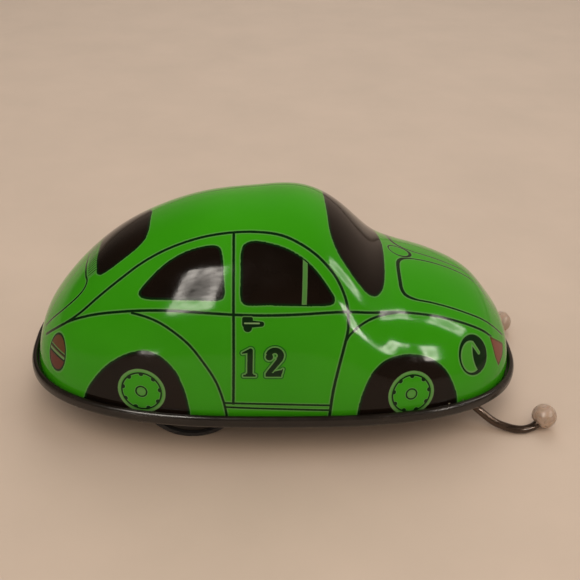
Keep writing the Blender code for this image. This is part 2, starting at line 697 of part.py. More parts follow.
for label, (px, pz) in pillars.items():
    s = PLATE_Y - GAP
    e = PLATE_OUT + GAP
    pillar = turned("plate_pillar_" + label,
                    [(0, e + 0.5 * MM), (PILLAR_PIN + 0.5 * MM, e + 0.3 * MM), (PILLAR_PIN + 0.5 * MM, e),
                     (PILLAR_PIN, e), (PILLAR_PIN, s), (PILLAR_RADIUS, s), (PILLAR_RADIUS, -s),
                     (PILLAR_PIN, -s), (PILLAR_PIN, -e), (PILLAR_PIN + 0.5 * MM, -e),
                     (PILLAR_PIN + 0.5 * MM, -e - 0.3 * MM), (0, -e - 0.5 * MM)], 12)
    pillar.location = (px, 0, pz)
    finish(pillar, "steel")

# ---- front axle --------------------------------------------------------
bracket_top = FLOOR_UNDER_Z - GAP
bw = BRACKET_HALF_WIDTH
bracket = box("front_bracket", (BRACKET_LENGTH, 2 * bw, BRACKET_THICK),
              (FRONT_X, 0, bracket_top - BRACKET_THICK / 2))
for side, label in ((1, "left"), (-1, "right")):
    ear_low = FRONT_Z - 1.8 * MM
    profile = [(-BRACKET_LENGTH / 2 + 0.4 * MM, bracket_top - BRACKET_THICK * 0.5),
               (-2.0 * MM, ear_low + 0.6 * MM), (-1.2 * MM, ear_low), (1.2 * MM, ear_low),
               (2.0 * MM, ear_low + 0.6 * MM),
               (BRACKET_LENGTH / 2 - 0.4 * MM, bracket_top - BRACKET_THICK * 0.5)]
    lug = flat("lug_" + label, [profile, circle(FRONT_AXLE_RADIUS + RUN_GAP, 14, (0, FRONT_Z))],
               BRACKET_THICK)
    lug.location = (FRONT_X, side * (bw - BRACKET_THICK / 2 - 0.05 * MM), 0)
    cutter(lug)
    boolean(bracket, lug, "UNION")
    ry = side * bw * 0.5
    rivet_hole(bracket, "bracket_hole_" + label, FRONT_X, ry, bracket_top)
    rivet_hole(base_plate, "pan_hole_bracket_" + label, FRONT_X, ry, FLOOR_TOP_Z)
    rivet("bracket_rivet_" + label, FRONT_X, ry, bracket_top - BRACKET_THICK, FLOOR_TOP_Z, "steel")
    h = FRONT_WHEEL_WIDTH / 2
    fw = turned("front_wheel_" + label,
                [(FRONT_AXLE_RADIUS + RUN_GAP, h), (2.6 * MM, h), (3.0 * MM, h - 0.5 * MM),
                 (3.4 * MM, h), (FRONT_WHEEL_RADIUS - 0.2 * MM, h), (FRONT_WHEEL_RADIUS, h - 0.3 * MM),
                 (FRONT_WHEEL_RADIUS, -h + 0.3 * MM), (FRONT_WHEEL_RADIUS - 0.2 * MM, -h),
                 (FRONT_AXLE_RADIUS + RUN_GAP, -h)], 24, closed=True)
    fw.location = (FRONT_X, side * (bw + GAP + 0.2 * MM + h), FRONT_Z)
    moving.append((finish(fw, "black_plastic"), front))
finish(bracket, "black_tin", smooth=False)
front_axle = rod("front_axle", FRONT_AXLE_RADIUS,
                 2 * (bw + GAP + 0.2 * MM + FRONT_WHEEL_WIDTH + 0.6 * MM), 12)
front_axle.location = (FRONT_X, 0, FRONT_Z)
moving.append((finish(front_axle, "steel"), front))

# ---- feeler ------------------------------------------------------------
bar_y = CLIP_Y + CLIP_WIDTH / 2 + 2.2 * MM
drop = FEELER_Z - WIRE_RADIUS - 0.1 * MM
arm = [(0.0, bar_y, 0.0), (0.6 * MM, bar_y + 2.6 * MM, -0.094 * drop),
       (3.2 * MM, bar_y + 3.6 * MM, -0.469 * drop), (7.2 * MM, bar_y + 5.0 * MM, -0.859 * drop),
       (11.9 * MM, bar_y + 6.1 * MM, -drop), (15.6 * MM, bar_y + 5.3 * MM, -drop + 0.1 * MM),
       (18.0 * MM, bar_y + 4.1 * MM, -drop + 1.9 * MM)]
right = [(x, -y, z) for x, y, z in reversed(arm)]
path = smooth_path(right[:-1], 3) + [(0.0, -bar_y, 0.0), (0.0, 0.0, 0.0), (0.0, bar_y, 0.0)]
path += smooth_path(arm[1:], 3)
wire = tube("feeler_wire", path, WIRE_RADIUS)
wire.location = (FEELER_X, 0, FEELER_Z)
moving.append((finish(wire, "dark_wire"), feeler))
for side, label in ((1, "left"), (-1, "right")):
    tip = Vector((arm[-1][0], side * arm[-1][1], arm[-1][2]))
    before = Vector((arm[-2][0], side * arm[-2][1], arm[-2][2]))
    way = (tip - before).normalized()
    centre = tip + way * (0.35 * MM)
    front_reach = FEELER_X + centre.x + BALL_RADIUS
    bm = bmesh.new()
    bmesh.ops.create_uvsphere(bm, u_segments=16, v_segments=10, radius=BALL_RADIUS)
    ball = new_object("feeler_ball_" + label, bm)
    ball.location = Vector((FEELER_X, 0, FEELER_Z)) + centre
    bm = bmesh.new()
    bmesh.ops.create_cone(bm, cap_ends=True, segments=12, radius1=WIRE_RADIUS + GAP,
                          radius2=WIRE_RADIUS + GAP, depth=6 * MM)
    drill = new_object("ball_drill_" + label, bm)
    drill.rotation_mode = "QUATERNION"
    drill.rotation_quaternion = way.to_track_quat("Z", "Y")
    drill.location = ball.location - way * (3 * MM)
    cutter(drill)
    boolean(ball, drill, "DIFFERENCE")
    moving.append((finish(ball, "milky"), feeler))

# each clip is a strap that wraps the cross bar and is riveted under the pan
for side, label in ((1, "left"), (-1, "right")):
    inner = WIRE_RADIUS + RUN_GAP
    outer = inner + CLIP_THICK
    strap_top = FLOOR_UNDER_Z - GAP - FEELER_Z
    outer_arc = [(outer * math.cos(math.radians(d)), outer * math.sin(math.radians(d)))
                 for d in range(70, -211, -20)]
    inner_arc = [(inner * math.cos(math.radians(d)), inner * math.sin(math.radians(d)))
                 for d in range(-210, 71, 20)]
    strap = [(-6.4 * MM, strap_top), (0.45 * MM, strap_top)] + outer_arc + inner_arc
    strap += [(-0.2 * MM, strap_top - CLIP_THICK), (-6.4 * MM, strap_top - CLIP_THICK)]
    clip = flat("feeler_clip_" + label, [strap], CLIP_WIDTH)
    clip.location = (FEELER_X, side * CLIP_Y, FEELER_Z)
    rx = FEELER_X - 4.2 * MM
    rivet_hole(clip, "clip_hole_" + label, rx, side * CLIP_Y, FLOOR_UNDER_Z - GAP)
    rivet_hole(base_plate, "pan_hole_clip_" + label, rx, side * CLIP_Y, FLOOR_TOP_Z)
    finish(clip, "tin", smooth=False)
    rivet("clip_rivet_" + label, rx, side * CLIP_Y, FLOOR_UNDER_Z - GAP - CLIP_THICK, FLOOR_TOP_Z, "steel")

finish(base_plate, "black_tin")
finish(body_shell, "print")
for piece, axis in moving:
    hang(piece, axis)

# bring the origin under the middle of the whole length
shift = (HALF_L - front_reach) / 2
for obj in list(car.objects) + list(tools.objects):
    if obj.parent is None:
        obj.location.x += shift
bpy.context.view_layer.update()
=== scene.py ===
"""Looks for the friction tin car: fine printed body, enamelled pan, wheels, motor and feeler."""

import math

import bmesh
import bpy
import numpy as np
from mathutils import Matrix, Vector


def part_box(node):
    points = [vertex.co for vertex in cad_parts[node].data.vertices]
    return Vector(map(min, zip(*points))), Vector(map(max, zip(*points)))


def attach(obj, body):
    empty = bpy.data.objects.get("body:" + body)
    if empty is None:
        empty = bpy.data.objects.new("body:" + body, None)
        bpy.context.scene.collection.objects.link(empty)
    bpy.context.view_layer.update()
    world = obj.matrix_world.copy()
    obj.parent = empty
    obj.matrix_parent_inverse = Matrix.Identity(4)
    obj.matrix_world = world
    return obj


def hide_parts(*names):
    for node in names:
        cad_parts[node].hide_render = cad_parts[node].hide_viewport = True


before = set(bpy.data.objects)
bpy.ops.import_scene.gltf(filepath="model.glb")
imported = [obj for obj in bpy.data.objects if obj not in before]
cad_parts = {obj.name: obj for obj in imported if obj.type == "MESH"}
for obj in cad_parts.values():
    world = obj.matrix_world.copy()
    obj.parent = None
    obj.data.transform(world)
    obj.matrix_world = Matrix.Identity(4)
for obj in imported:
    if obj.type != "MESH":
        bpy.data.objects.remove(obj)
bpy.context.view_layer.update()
MM = 0.001

# ---- sizes, the same as the CAD model's but for the crown at the windscreen
pan_low, pan_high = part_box("base_plate")
MID_X = (pan_low.x + pan_high.x) / 2 / MM       # middle of the rim, mm
RIM_Z = pan_low.z / MM                          # underside of the rim, mm
HALF_L = (pan_high.x - pan_low.x) / 2 / MM
HALF_W = (pan_high.y - pan_low.y) / 2 / MM
RIM_HEIGHT = (pan_high.z - pan_low.z) / MM
RIM_THICK = 1.3
GAP = 0.3
POWER_FRONT = 2.8
POWER_REAR = 2.65
BODY_HEIGHT = 40.2
BODY_WALL = 0.4
BODY_L = HALF_L - RIM_THICK - GAP
BODY_W = HALF_W - RIM_THICK - GAP
FLOOR_LOW = 0.5
FLOOR_TOP = 0.9
EDGE_Z = FLOOR_TOP + GAP
CROWN = [(-0.974, 0.220), (-0.919, 0.360), (-0.809, 0.542), (-0.662, 0.719),
         (-0.478, 0.861), (-0.276, 0.953), (-0.074, 0.992), (0.110, 0.994),
         (0.257, 0.889), (0.340, 0.787), (0.400, 0.716), (0.478, 0.662), (0.607, 0.612),
         (0.735, 0.550), (0.846, 0.458), (0.919, 0.345), (0.972, 0.235)]
SECTION = [(-0.83, 2.2, 2.3), (-0.18, 2.1, 2.2), (0.37, 2.0, 2.2), (0.83, 2.0, 2.2)]


# ---- body form ----------------------------------------------------------
def power_at(x):
    return np.where(x > 0, POWER_FRONT, POWER_REAR)


def outline(half_l, half_w, count):
    """Plan outline as count points an equal way apart, from the nose round by +Y."""
    a = np.linspace(0, 2 * math.pi, 20001)
    c, s = np.cos(a), np.sin(a)
    n = 2 / power_at(c)
    x = half_l * np.sign(c) * np.abs(c) ** n
    y = half_w * np.sign(s) * np.abs(s) ** n
    way = np.concatenate([[0], np.cumsum(np.hypot(np.diff(x), np.diff(y)))])
    at = np.linspace(0, way[-1], count + 1)[:-1]
    return np.stack([np.interp(at, way, x), np.interp(at, way, y)], -1)


def half_width(x):
    n = power_at(x)
    return BODY_W * np.maximum(1 - np.abs(x / BODY_L) ** n, 0) ** (1 / n)


def natural_spline(knots, values):
    n = len(knots)
    h = np.diff(knots)
    a = np.eye(n)
    b = np.zeros(n)
    for i in range(1, n - 1):
        a[i, i - 1:i + 2] = [h[i - 1], 2 * (h[i - 1] + h[i]), h[i]]
        b[i] = 6 * ((values[i + 1] - values[i]) / h[i] - (values[i] - values[i - 1]) / h[i - 1])
    m = np.linalg.solve(a, b)

    def value(t):
        i = np.clip(np.searchsorted(knots, t) - 1, 0, n - 2)
        u = t - knots[i]
        w = knots[i + 1] - t
        return ((m[i] * w ** 3 + m[i + 1] * u ** 3) / (6 * h[i])
                + (values[i] / h[i] - m[i] * h[i] / 6) * w
                + (values[i + 1] / h[i] - m[i + 1] * h[i] / 6) * u)
    return value


crown = natural_spline(
    np.array([-math.pi / 2] + [math.asin(k) for k, _ in CROWN] + [math.pi / 2]),
    np.array([0.0] + [v for _, v in CROWN] + [0.0]))


def section(x):
    u = np.clip(x / BODY_L, -1, 1)
    top = BODY_HEIGHT * crown(np.arcsin(u))
    p = np.interp(u, [s[0] for s in SECTION], [s[1] for s in SECTION])
    q = np.interp(u, [s[0] for s in SECTION], [s[2] for s in SECTION])
    return top, p, q


def skin_z(x, y):
    x, y = np.asarray(x, float), np.asarray(y, float)
    top, p, q = section(x)
    share = np.minimum(np.abs(y) / np.maximum(half_width(x), 1e-6), 1)
    return top * np.maximum(1 - share ** p, 0) ** (1 / q)


def skin_point(x, degrees, side=-1):
    """A point of the skin at station x, seen from the section's foot at this angle."""
    x = np.asarray(x, float)
    a = np.radians(np.asarray(degrees, float))
    top, p, q = section(x)
    w = half_width(x)
    low, high = np.zeros_like(a), np.full_like(a, 80.0)
    for _ in range(48):
        mid = (low + high) / 2
        out = (mid * np.abs(np.cos(a)) / w) ** p + (mid * np.sin(a) / top) ** q > 1
        high = np.where(out, mid, high)
        low = np.where(out, low, mid)
    return np.stack([x, side * low * np.cos(a), low * np.sin(a)], -1)


def skin_normal(points):
    x, y = points[:, 0], points[:, 1]
    h = 0.05
    dx = (skin_z(x + h, y) - skin_z(x - h, y)) / (2 * h)
    dy = (skin_z(x, y + h) - skin_z(x, y - h)) / (2 * h)
    n = np.stack([-dx, -dy, np.ones_like(dx)], -1)
    return n / np.linalg.norm(n, axis=1)[:, None]


AROUND = 620
RINGS = 96
edge = outline(BODY_L, BODY_W, AROUND)
low, high = np.full(AROUND, 0.5), np.ones(AROUND)
for _ in range(40):
    mid = (low + high) / 2
    above = skin_z(edge[:, 0] * mid, edge[:, 1] * mid) > EDGE_Z
    low, high = np.where(above, mid, low), np.where(above, high, mid)
rho = low[None, :] * np.sin(0.5 * math.pi * np.arange(1, RINGS + 1) / RINGS)[:, None]
gx, gy = edge[None, :, 0] * rho, edge[None, :, 1] * rho
outer = np.concatenate([[[0.0, 0.0, float(skin_z(0.0, 0.0))]],
                        np.stack([gx, gy, skin_z(gx, gy)], -1).reshape(-1, 3)])
grid = outer[1:].reshape(RINGS, AROUND, 3)
steps = np.linalg.norm(np.diff(np.concatenate([np.tile(outer[0], (1, AROUND, 1)), grid]), axis=0), axis=2)
arc = np.cumsum(steps, axis=0)

# ---- print: outlines on the skin, as (station mm, angle degrees) ---------
WINDOWS = {
    "quarter": [(-29.5, 55.2), (-29.0, 53.3), (-27.5, 52.2), (-21, 51), (-15, 50.4),
                (-12.7, 50.4), (-12.0, 51.6),
                (-12.1, 58), (-12.4, 65), (-13.0, 67.6), (-14.2, 68.5), (-16.5, 68.5), (-20, 67.5),
                (-24, 64.5), (-27.6, 59.3)],
    "door": [(-8.7, 50.8), (-8.7, 58), (-8.6, 65.5), (-7.9, 68.2), (-6.2, 69.2), (-2.7, 68.2), (1.4, 65.8),
             (4.8, 62.5), (7.5, 58.4), (9.6, 54), (10.6, 51.4), (10.2, 49.4), (8.9, 48.7), (3.3, 48.3),
             (-3, 48.5), (-7.2, 48.5), (-8.3, 49.2)],
    "windscreen": [(9.6, 90), (9.7, 82), (10.1, 73), (11.7, 66.5), (14.6, 60.4), (17.0, 56.2), (18.3, 54.8),
                   (19.6, 55), (21, 57.6), (21.9, 62), (22.4, 68), (22.9, 80), (23.2, 90)],
    "rear": [(-28.1, 90), (-28.2, 82), (-28.9, 77.2), (-30.4, 74.4), (-33, 71.6), (-36.4, 68.8),
             (-38.0, 68.3), (-39.0, 69.8), (-39.4, 74), (-39.7, 80), (-39.8, 90)],
    "rear_arch": [(-42.3, 0), (-41.6, 7), (-39.8, 16.5), (-35.8, 27), (-31.4, 32), (-28.2, 33),
                  (-25, 30.8), (-22, 25), (-20.2, 17), (-19.2, 8), (-18.9, 0)],
    "front_arch": [(16.0, 0), (16.4, 9), (17.4, 17.5), (19.3, 25), (22.3, 29.6), (26.6, 31.4),
                   (31, 30), (34.6, 25), (37.2, 16), (38.6, 6), (38.9, 0)],
}
LINES = {
    "gutter": [(-51.0, 46), (-45.6, 49), (-42.4, 52), (-38.5, 57), (-33.0, 63), (-29.0, 66.8),
               (-24.0, 69.8),
               (-17.0, 71.9), (-10.2, 72.6), (-5.0, 72.2), (-0.6, 70.8), (3.6, 67.8), (7.4, 64),
               (10.8, 58.6),
               (12.8, 52), (13.4, 46.6), (13.4, 41), (12.7, 35), (11.6, 26), (10.7, 16), (10.3, 5), (10.2, 0)],
    "door_rear": [(-10.1, 72.6), (-10.1, 50), (-10.0, 30), (-10.0, 11)],
    "belt": [(-51.0, 46), (-45.3, 49), (-40.2, 49.4), (-34.4, 48.9), (-24.4, 47.8), (-16.8, 46.5),
             (-10, 45.6), (-3, 45.3), (4, 45.7), (12.9, 47.1), (18.2, 47.9), (24.9, 49.9),
             (31.5, 49.8), (36.5, 48.6),
             (41.4, 46.6), (45.0, 44.2), (47.0, 41.6)],
    "rear_wing": [(-30.8, 47.8), (-28, 46), (-24.8, 43.2), (-19.5, 36), (-16.0, 28), (-13.6, 20.5),
                  (-12.1, 12), (-11.4, 5), (-11.2, 0)],
    "front_wing": [(12.8, 36), (13.6, 38.6), (15.6, 42), (18.2, 45.2), (21.5, 48), (24.7, 49.8)],
    "sill_top": [(-11.9, 10.9), (0, 10.3), (10.4, 9.6)],
    "sill_low": [(-11.7, 8.9), (0, 8.0), (10.3, 7.2)],
    "bonnet": [(51.4, 76), (49.4, 80.5), (47.2, 84), (44.5, 86), (40, 87), (35, 86.8), (30, 85.6),
               (27.6, 83.4), (26.4, 80), (26.0, 75.8), (25.9, 66), (26.0, 62.3), (26.8, 59.0), (28.8, 57.4),
               (32.6, 56.6), (37.7, 55), (41.7, 53.4), (45.2, 51.9), (48.6, 49.4), (51.2, 46.5)],
    "lid": [(-42.4, 90), (-42.3, 82), (-41.9, 74), (-41.4, 69), (-42.0, 65), (-43.6, 62),
            (-46.9, 59), (-50.0, 57.4), (-51.6, 56)],
}
WIDTHS = {"gutter": 0.31, "door_rear": 0.28, "belt": 0.28, "rear_wing": 0.25, "front_wing": 0.25,
          "sill_top": 0.24, "sill_low": 0.24, "bonnet": 0.22, "lid": 0.24}
# centres of the small printed devices: station, angle
DEVICES = {"hub": [(-29.1, 14.6), (27.7, 13.2)], "eye": [(41.9, 30.0)], "tail": [(-48.0, 31.0)],
           "cap": [(27.2, 90.0)], "digits": [(-3.9, 28.2)], "handle": [(-6.4, 42.4)],
           "patch": [(48.6, 33.0)], "vent": [(4.35, 55.5)], "louvre": [(-40.85, 90.0)]}
FAR = 40.0


def smooth_curve(points, step=0.25, closed=False):
    """A smooth curve through the points, laid on the skin of the -Y side."""
    pts = [np.array(p, float) for p in points]
    if closed:
        pts = [pts[-1]] + pts + [pts[0], pts[1]]
    else:
        pts = [2 * pts[0] - pts[1]] + pts + [2 * pts[-1] - pts[-2]]
    out = []
    for i in range(1, len(pts) - 2):
        p0, p1, p2, p3 = pts[i - 1:i + 3]
        t = np.linspace(0, 1, 24, endpoint=False)[:, None]
        k1 = max(np.linalg.norm(p1 - p0), 1e-6) ** 0.5
        k2 = max(np.linalg.norm(p2 - p1), 1e-6) ** 0.5
        k3 = max(np.linalg.norm(p3 - p2), 1e-6) ** 0.5
        m1 = (p2 - p1) + k2 * ((p1 - p0) / k1 - (p2 - p0) / (k1 + k2))
        m2 = (p2 - p1) + k2 * ((p3 - p2) / k3 - (p3 - p1) / (k2 + k3))
        out.append((2 * t ** 3 - 3 * t ** 2 + 1) * p1 + (t ** 3 - 2 * t ** 2 + t) * m1
                   + (-2 * t ** 3 + 3 * t ** 2) * p2 + (t ** 3 - t ** 2) * m2)
    chart = np.concatenate(out + ([] if closed else [pts[-2][None]]))
    solid = skin_point(chart[:, 0], np.clip(chart[:, 1], 0.0, 90.0))
    if closed:
        solid = np.concatenate([solid, solid[:1]])
    way = np.concatenate([[0], np.cumsum(np.linalg.norm(np.diff(solid, axis=0), axis=1))])
    at = np.linspace(0, way[-1], max(int(way[-1] / step), 4) + 1)
    return np.stack([np.interp(at, way, solid[:, k]) for k in range(3)], -1), chart


def inside(chart, x, a):
    """Which chart points lie inside the closed outline."""
    hit = np.zeros(len(x), bool)
    px, pa = chart[:, 0], chart[:, 1]
    for i in range(len(chart)):
        j = i - 1
        crosses = (pa[i] > a) != (pa[j] > a)
        if crosses.any():
            at = (px[j] - px[i]) * (a - pa[i]) / (pa[j] - pa[i] + 1e-12) + px[i]
            hit ^= crosses & (x < at)
    return hit


def nearest(points, curve, reach):
    """Distance, place and index on the curve, for points within reach of its box."""
    near = np.all((points > curve.min(0) - reach) & (points < curve.max(0) + reach), axis=1)
    dist = np.full(len(points), reach)
    index = np.zeros(len(points), int)
    which = np.where(near)[0]
    for start in range(0, len(which), 4000):
        part = which[start:start + 4000]
        d = np.linalg.norm(points[part, None, :] - curve[None], axis=2)
        index[part] = d.argmin(1)
        dist[part] = d.min(1)
    return np.minimum(dist, reach), index, near


mirrored = outer * np.array([1, -1, 1])
folded = np.where(outer[:, 1:2] > 0, mirrored, outer)       # both sides on the -Y side
normals = skin_normal(np.where(np.abs(folded) < 1e-9, 1e-6, folded))
chart_x = folded[:, 0]
chart_a = np.degrees(np.arctan2(folded[:, 2], np.abs(folded[:, 1])))

fill = np.full(len(outer), 8.0)
for name, points in WINDOWS.items():
    open_end = points[0][1] in (0, 90)
    curve, chart = smooth_curve(points, closed=not open_end)
    closing = chart
    if open_end:                                # runs off the lower edge, or over the middle
        beyond = -6.0 if points[0][1] == 0 else 96.0
        closing = np.concatenate([chart, [[chart[-1, 0], beyond], [chart[0, 0], beyond]]])
    dist, _, _ = nearest(folded, curve, 8.0)
    signed = np.where(inside(closing, chart_x, chart_a), -dist, dist)
    fill = np.where(np.abs(signed) < 8.0, np.where(signed < fill, signed, fill), fill)
    fill = np.where(inside(closing, chart_x, chart_a), np.minimum(fill, -dist), fill)

strokes = {}
for name, points in LINES.items():
    curve, _ = smooth_curve(points)
    tangent = np.gradient(curve, axis=0)
    tangent /= np.linalg.norm(tangent, axis=1)[:, None]
    dist, index, near = nearest(folded, curve, FAR)
    gap = folded - curve[index]
    t = tangent[index]
    across = np.cross(normals, t)
    across /= np.maximum(np.linalg.norm(across, axis=1), 1e-6)[:, None]
    side = np.einsum("ij,ij->i", gap, across)
    past = np.where(index == 0, -np.einsum("ij,ij->i", gap, t),
                    np.where(index == len(curve) - 1, np.einsum("ij,ij->i", gap, t), -1.0))
    if points[0][1] == 90:
        past = np.where(index == 0, -1.0, past)
    strokes[name] = np.stack([np.where(near, side, FAR), np.where(near, past, FAR),
                              np.where(near, dist, FAR)], -1)


def local_frames(places, flip_far):
    """Flat coordinates in mm around the nearest centre, on either side of the car."""
    best = np.full(len(outer), FAR)
    found = np.tile([FAR, FAR, FAR], (len(outer), 1)).astype(float)
    for x, a in places:
        for side in (-1, 1):
            centre = skin_point(x, a, side)
            n = skin_normal(centre[None] + [0, side * -1e-4, 0])[0]
            if a == 90.0:
                n = skin_normal(centre[None])[0]
            along = np.array([1.0, 0, 0]) - n[0] * n
            along /= np.linalg.norm(along)
            up = np.cross(n, along) * (1 if side == -1 else -1)
            if a == 90.0:
                up = np.array([0, 1.0, 0])
            rel = outer - centre
            d = np.linalg.norm(rel, axis=1)
            u = rel @ along * (-1 if flip_far and side == 1 else 1)
            v = rel @ up
            take = d < np.minimum(best, 9.0)
            found[take] = np.stack([u, v, d], -1)[take]
            best = np.where(take, d, best)
    return found


devices = {name: local_frames(places, name == "digits") for name, places in DEVICES.items()}

# ---- the body mesh: printed outside, bare tin inside, turned lower edge ---
inner_rings = 26
inner = []
for k in range(inner_rings, 0, -1):
    pick = max(int(round(k * RINGS / inner_rings)) - 1, 0)
    row = grid[pick, ::4]
    n = skin_normal(np.where(np.abs(row) < 1e-9, 1e-6, row))
    if pick > RINGS - 6:
        n[:, 2] = 0
        n /= np.maximum(np.linalg.norm(n, axis=1), 1e-9)[:, None]
    inner.append(row - n * BODY_WALL)
inner = np.array(inner)
inner[0, :, 2] = EDGE_Z
NI = AROUND // 4
verts = [tuple(p) for p in outer]
base = len(verts)
for row in inner:
    verts += [tuple(p) for p in row]
verts.append((0, 0, outer[0, 2] - BODY_WALL))
faces = []
slots = []
for i in range(AROUND):
    j = (i + 1) % AROUND
    faces.append((0, 1 + i, 1 + j))
    slots.append(0)
for k in range(RINGS - 1):
    a = 1 + k * AROUND
    for i in range(AROUND):
        j = (i + 1) % AROUND
        faces.append((a + i, a + AROUND + i, a + AROUND + j, a + j))
        slots.append(0)
last = 1 + (RINGS - 1) * AROUND
for i in range(NI):                             # lower edge, cut tin
    j = (i + 1) % NI
    faces.append((last + 4 * i, base + i, base + j, last + (4 * i + 4) % AROUND, last + 4 * i + 3,
                  last + 4 * i + 2, last + 4 * i + 1))
    slots.append(1)
for k in range(inner_rings - 1):
    a = base + k * NI
    for i in range(NI):
        j = (i + 1) % NI
        faces.append((a + i, a + NI + i, a + NI + j, a + j))
        slots.append(1)
a = base + (inner_rings - 1) * NI
for i in range(NI):
    faces.append((a + i, len(verts) - 1, a + (i + 1) % NI))
    slots.append(1)


def link_object(name, data):
    obj = bpy.data.objects.new(name, data)
    bpy.context.scene.collection.objects.link(obj)
    return obj


def object_from(name, bm):
    """A linked object with this bmesh, which is freed."""
    mesh = bpy.data.meshes.new(name)
    bm.to_mesh(mesh)
    bm.free()
    return link_object(name, mesh)


def place_mesh(name, verts_mm, faces):
    mesh = bpy.data.meshes.new(name)
    co = np.array(verts_mm, float) + np.array([MID_X, 0, RIM_Z])
    mesh.from_pydata((co * MM).tolist(), [], faces)
    mesh.validate()
    return link_object(name, mesh)


body = place_mesh("body_print", verts, faces)
body.data.polygons.foreach_set("material_index", slots)
body.data.shade_smooth()


def put_attribute(mesh, name, values):
    full = np.full((len(mesh.vertices), 3), FAR, np.float32)
    full[:len(values)] = values
    layer = mesh.attributes.new(name, "FLOAT_VECTOR", "POINT")
    layer.data.foreach_set("vector", full.ravel())


put_attribute(body.data, "fill", np.stack([fill, fill, fill], -1))
for name, values in strokes.items():
    put_attribute(body.data, "line_" + name, values)
for name, values in devices.items():
    put_attribute(body.data, "mark_" + name, values)

# flat map of the skin: the crown in the middle, the lower edge round the outside
turn = np.arctan2(edge[:, 1], edge[:, 0])
reach = arc / arc.max()
flat = np.stack([0.5 + 0.492 * reach * np.cos(turn), 0.5 + 0.492 * reach * np.sin(turn)], -1)
uv_vert = np.zeros((len(verts), 2))
uv_vert[0] = 0.5
uv_vert[1:1 + RINGS * AROUND] = flat.reshape(-1, 2)
ring_turn = turn[::4]
for k in range(inner_rings):
    share = 1 - k / inner_rings
    uv_vert[base + k * NI:base + (k + 1) * NI] = np.stack(
        [0.07 + 0.06 * share * np.cos(ring_turn), 0.07 + 0.06 * share * np.sin(ring_turn)], -1)
uv_vert[-1] = 0.07
layer = body.data.uv_layers.new(name="OFBake")
loop_vert = np.zeros(len(body.data.loops), np.int32)
body.data.loops.foreach_get("vertex_index", loop_vert)
layer.data.foreach_set("uv", uv_vert[loop_vert].astype(np.float32).ravel())
for poly in body.data.polygons[AROUND * RINGS:AROUND * RINGS + NI]:
    for li in poly.loop_indices:                # the cut edge has its own thin strip
        v = loop_vert[li]
        k = poly.index - AROUND * RINGS
        if v < base:
            share = ((v - last - 4 * k) % AROUND) / 4
            layer.data[li].uv = (0.15 + 0.7 * (k + share) / NI, 0.0015)
        else:
            layer.data[li].uv = (0.15 + 0.7 * (k + ((v - base - k) % NI)) / NI, 0.004)


# ---- materials ----------------------------------------------------------
def put(tree, socket, value):
    """Give an input a value, or link another node's output to it."""
    if isinstance(value, bpy.types.NodeSocket):
        tree.links.new(value, socket)
    elif value is not None:
        socket.default_value = value


def new_node(tree, kind, inputs=None, **settings):
    """The outputs of a new node with these settings and inputs."""
    node = tree.nodes.new("ShaderNode" + kind)
    for key, value in settings.items():
        setattr(node, key, value)
    for key, value in (inputs or {}).items():
        put(tree, node.inputs[key], value)
    return node.outputs


class Graph:
    """Short calls for building a node material."""

    def __init__(self, name):
        self.mat = bpy.data.materials.new(name)
        self.mat.use_nodes = True
        self.tree = self.mat.node_tree
        self.shader = self.tree.nodes["Principled BSDF"]

    def new(self, kind, inputs=None, **settings):
        return new_node(self.tree, kind, inputs, **settings)

    def math(self, op, a, b=None, c=None, clamp=False):
        return self.new("Math", {0: a, 1: b, 2: c}, operation=op, use_clamp=clamp)[0]

    def vector(self, name):
        return self.new("SeparateXYZ", {0: self.new("Attribute", attribute_name=name)["Vector"]})

    def add(self, a, b):
        return self.math("ADD", a, b)

    def sub(self, a, b):
        return self.math("SUBTRACT", a, b)

    def mul(self, a, b):
        return self.math("MULTIPLY", a, b)

    def abs(self, a):
        return self.math("ABSOLUTE", a)

    def least(self, *values):
        out = values[0]
        for v in values[1:]:
            out = self.math("MINIMUM", out, v)
        return out

    def most(self, *values):
        out = values[0]
        for v in values[1:]:
            out = self.math("MAXIMUM", out, v)
        return out

    def length(self, u, v):
        return self.math("SQRT", self.add(self.mul(u, u), self.mul(v, v)))

    def cover(self, distance, soft=0.05):
        """1 inside a shape, 0 outside, with a soft edge in mm."""
        return self.new("MapRange", {"Value": distance, "From Min": soft, "From Max": -soft},
                        interpolation_type="SMOOTHSTEP")[0]

    def mix(self, share, a, b):
        a, b = ((*c, 1.0) if isinstance(c, tuple) and len(c) == 3 else c for c in (a, b))
        return self.new("Mix", {0: share, 6: a, 7: b}, data_type="RGBA")[2]

    def cloudy(self, noise, a, b):
        """Colour a where the noise is low, b where it is high."""
        return self.mix(self.spread(noise, 0.3, 0.7, 0.0, 1.0), a, b)

    def coords(self):
        return self.new("TexCoord")["Object"]

    def noise(self, scale, detail=3.0, rough=0.55, stretch=None, distortion=0.0):
        source = self.coords()
        if stretch:
            source = self.new("Mapping", {"Vector": source, "Scale": stretch})[0]
        return self.new("TexNoise", {"Vector": source, "Scale": scale, "Detail": detail,
                                     "Roughness": rough, "Distortion": distortion})["Fac"]

    def spread(self, value, low, high, out_low, out_high):
        return self.new("MapRange", {"Value": value, "From Min": low, "From Max": high,
                                     "To Min": out_low, "To Max": out_high})[0]

    def bump(self, height, strength, distance=0.0001):
        self.set(Normal=self.new("Bump", {"Strength": strength, "Distance": distance, "Height": height})[0])

    def set(self, **values):
        """Shader inputs by name, with _ for a space."""
        for key, value in values.items():
            put(self.tree, self.shader.inputs[key.replace("_", " ")], value)


INK = (0.0045, 0.0035, 0.0025)
INK_GREEN = (0.003, 0.020, 0.004)
PALE = (0.120, 0.290, 0.085)


def disc(g, u, v, cx, cy, r):
    return g.sub(g.length(g.sub(u, cx), g.sub(v, cy)), r)


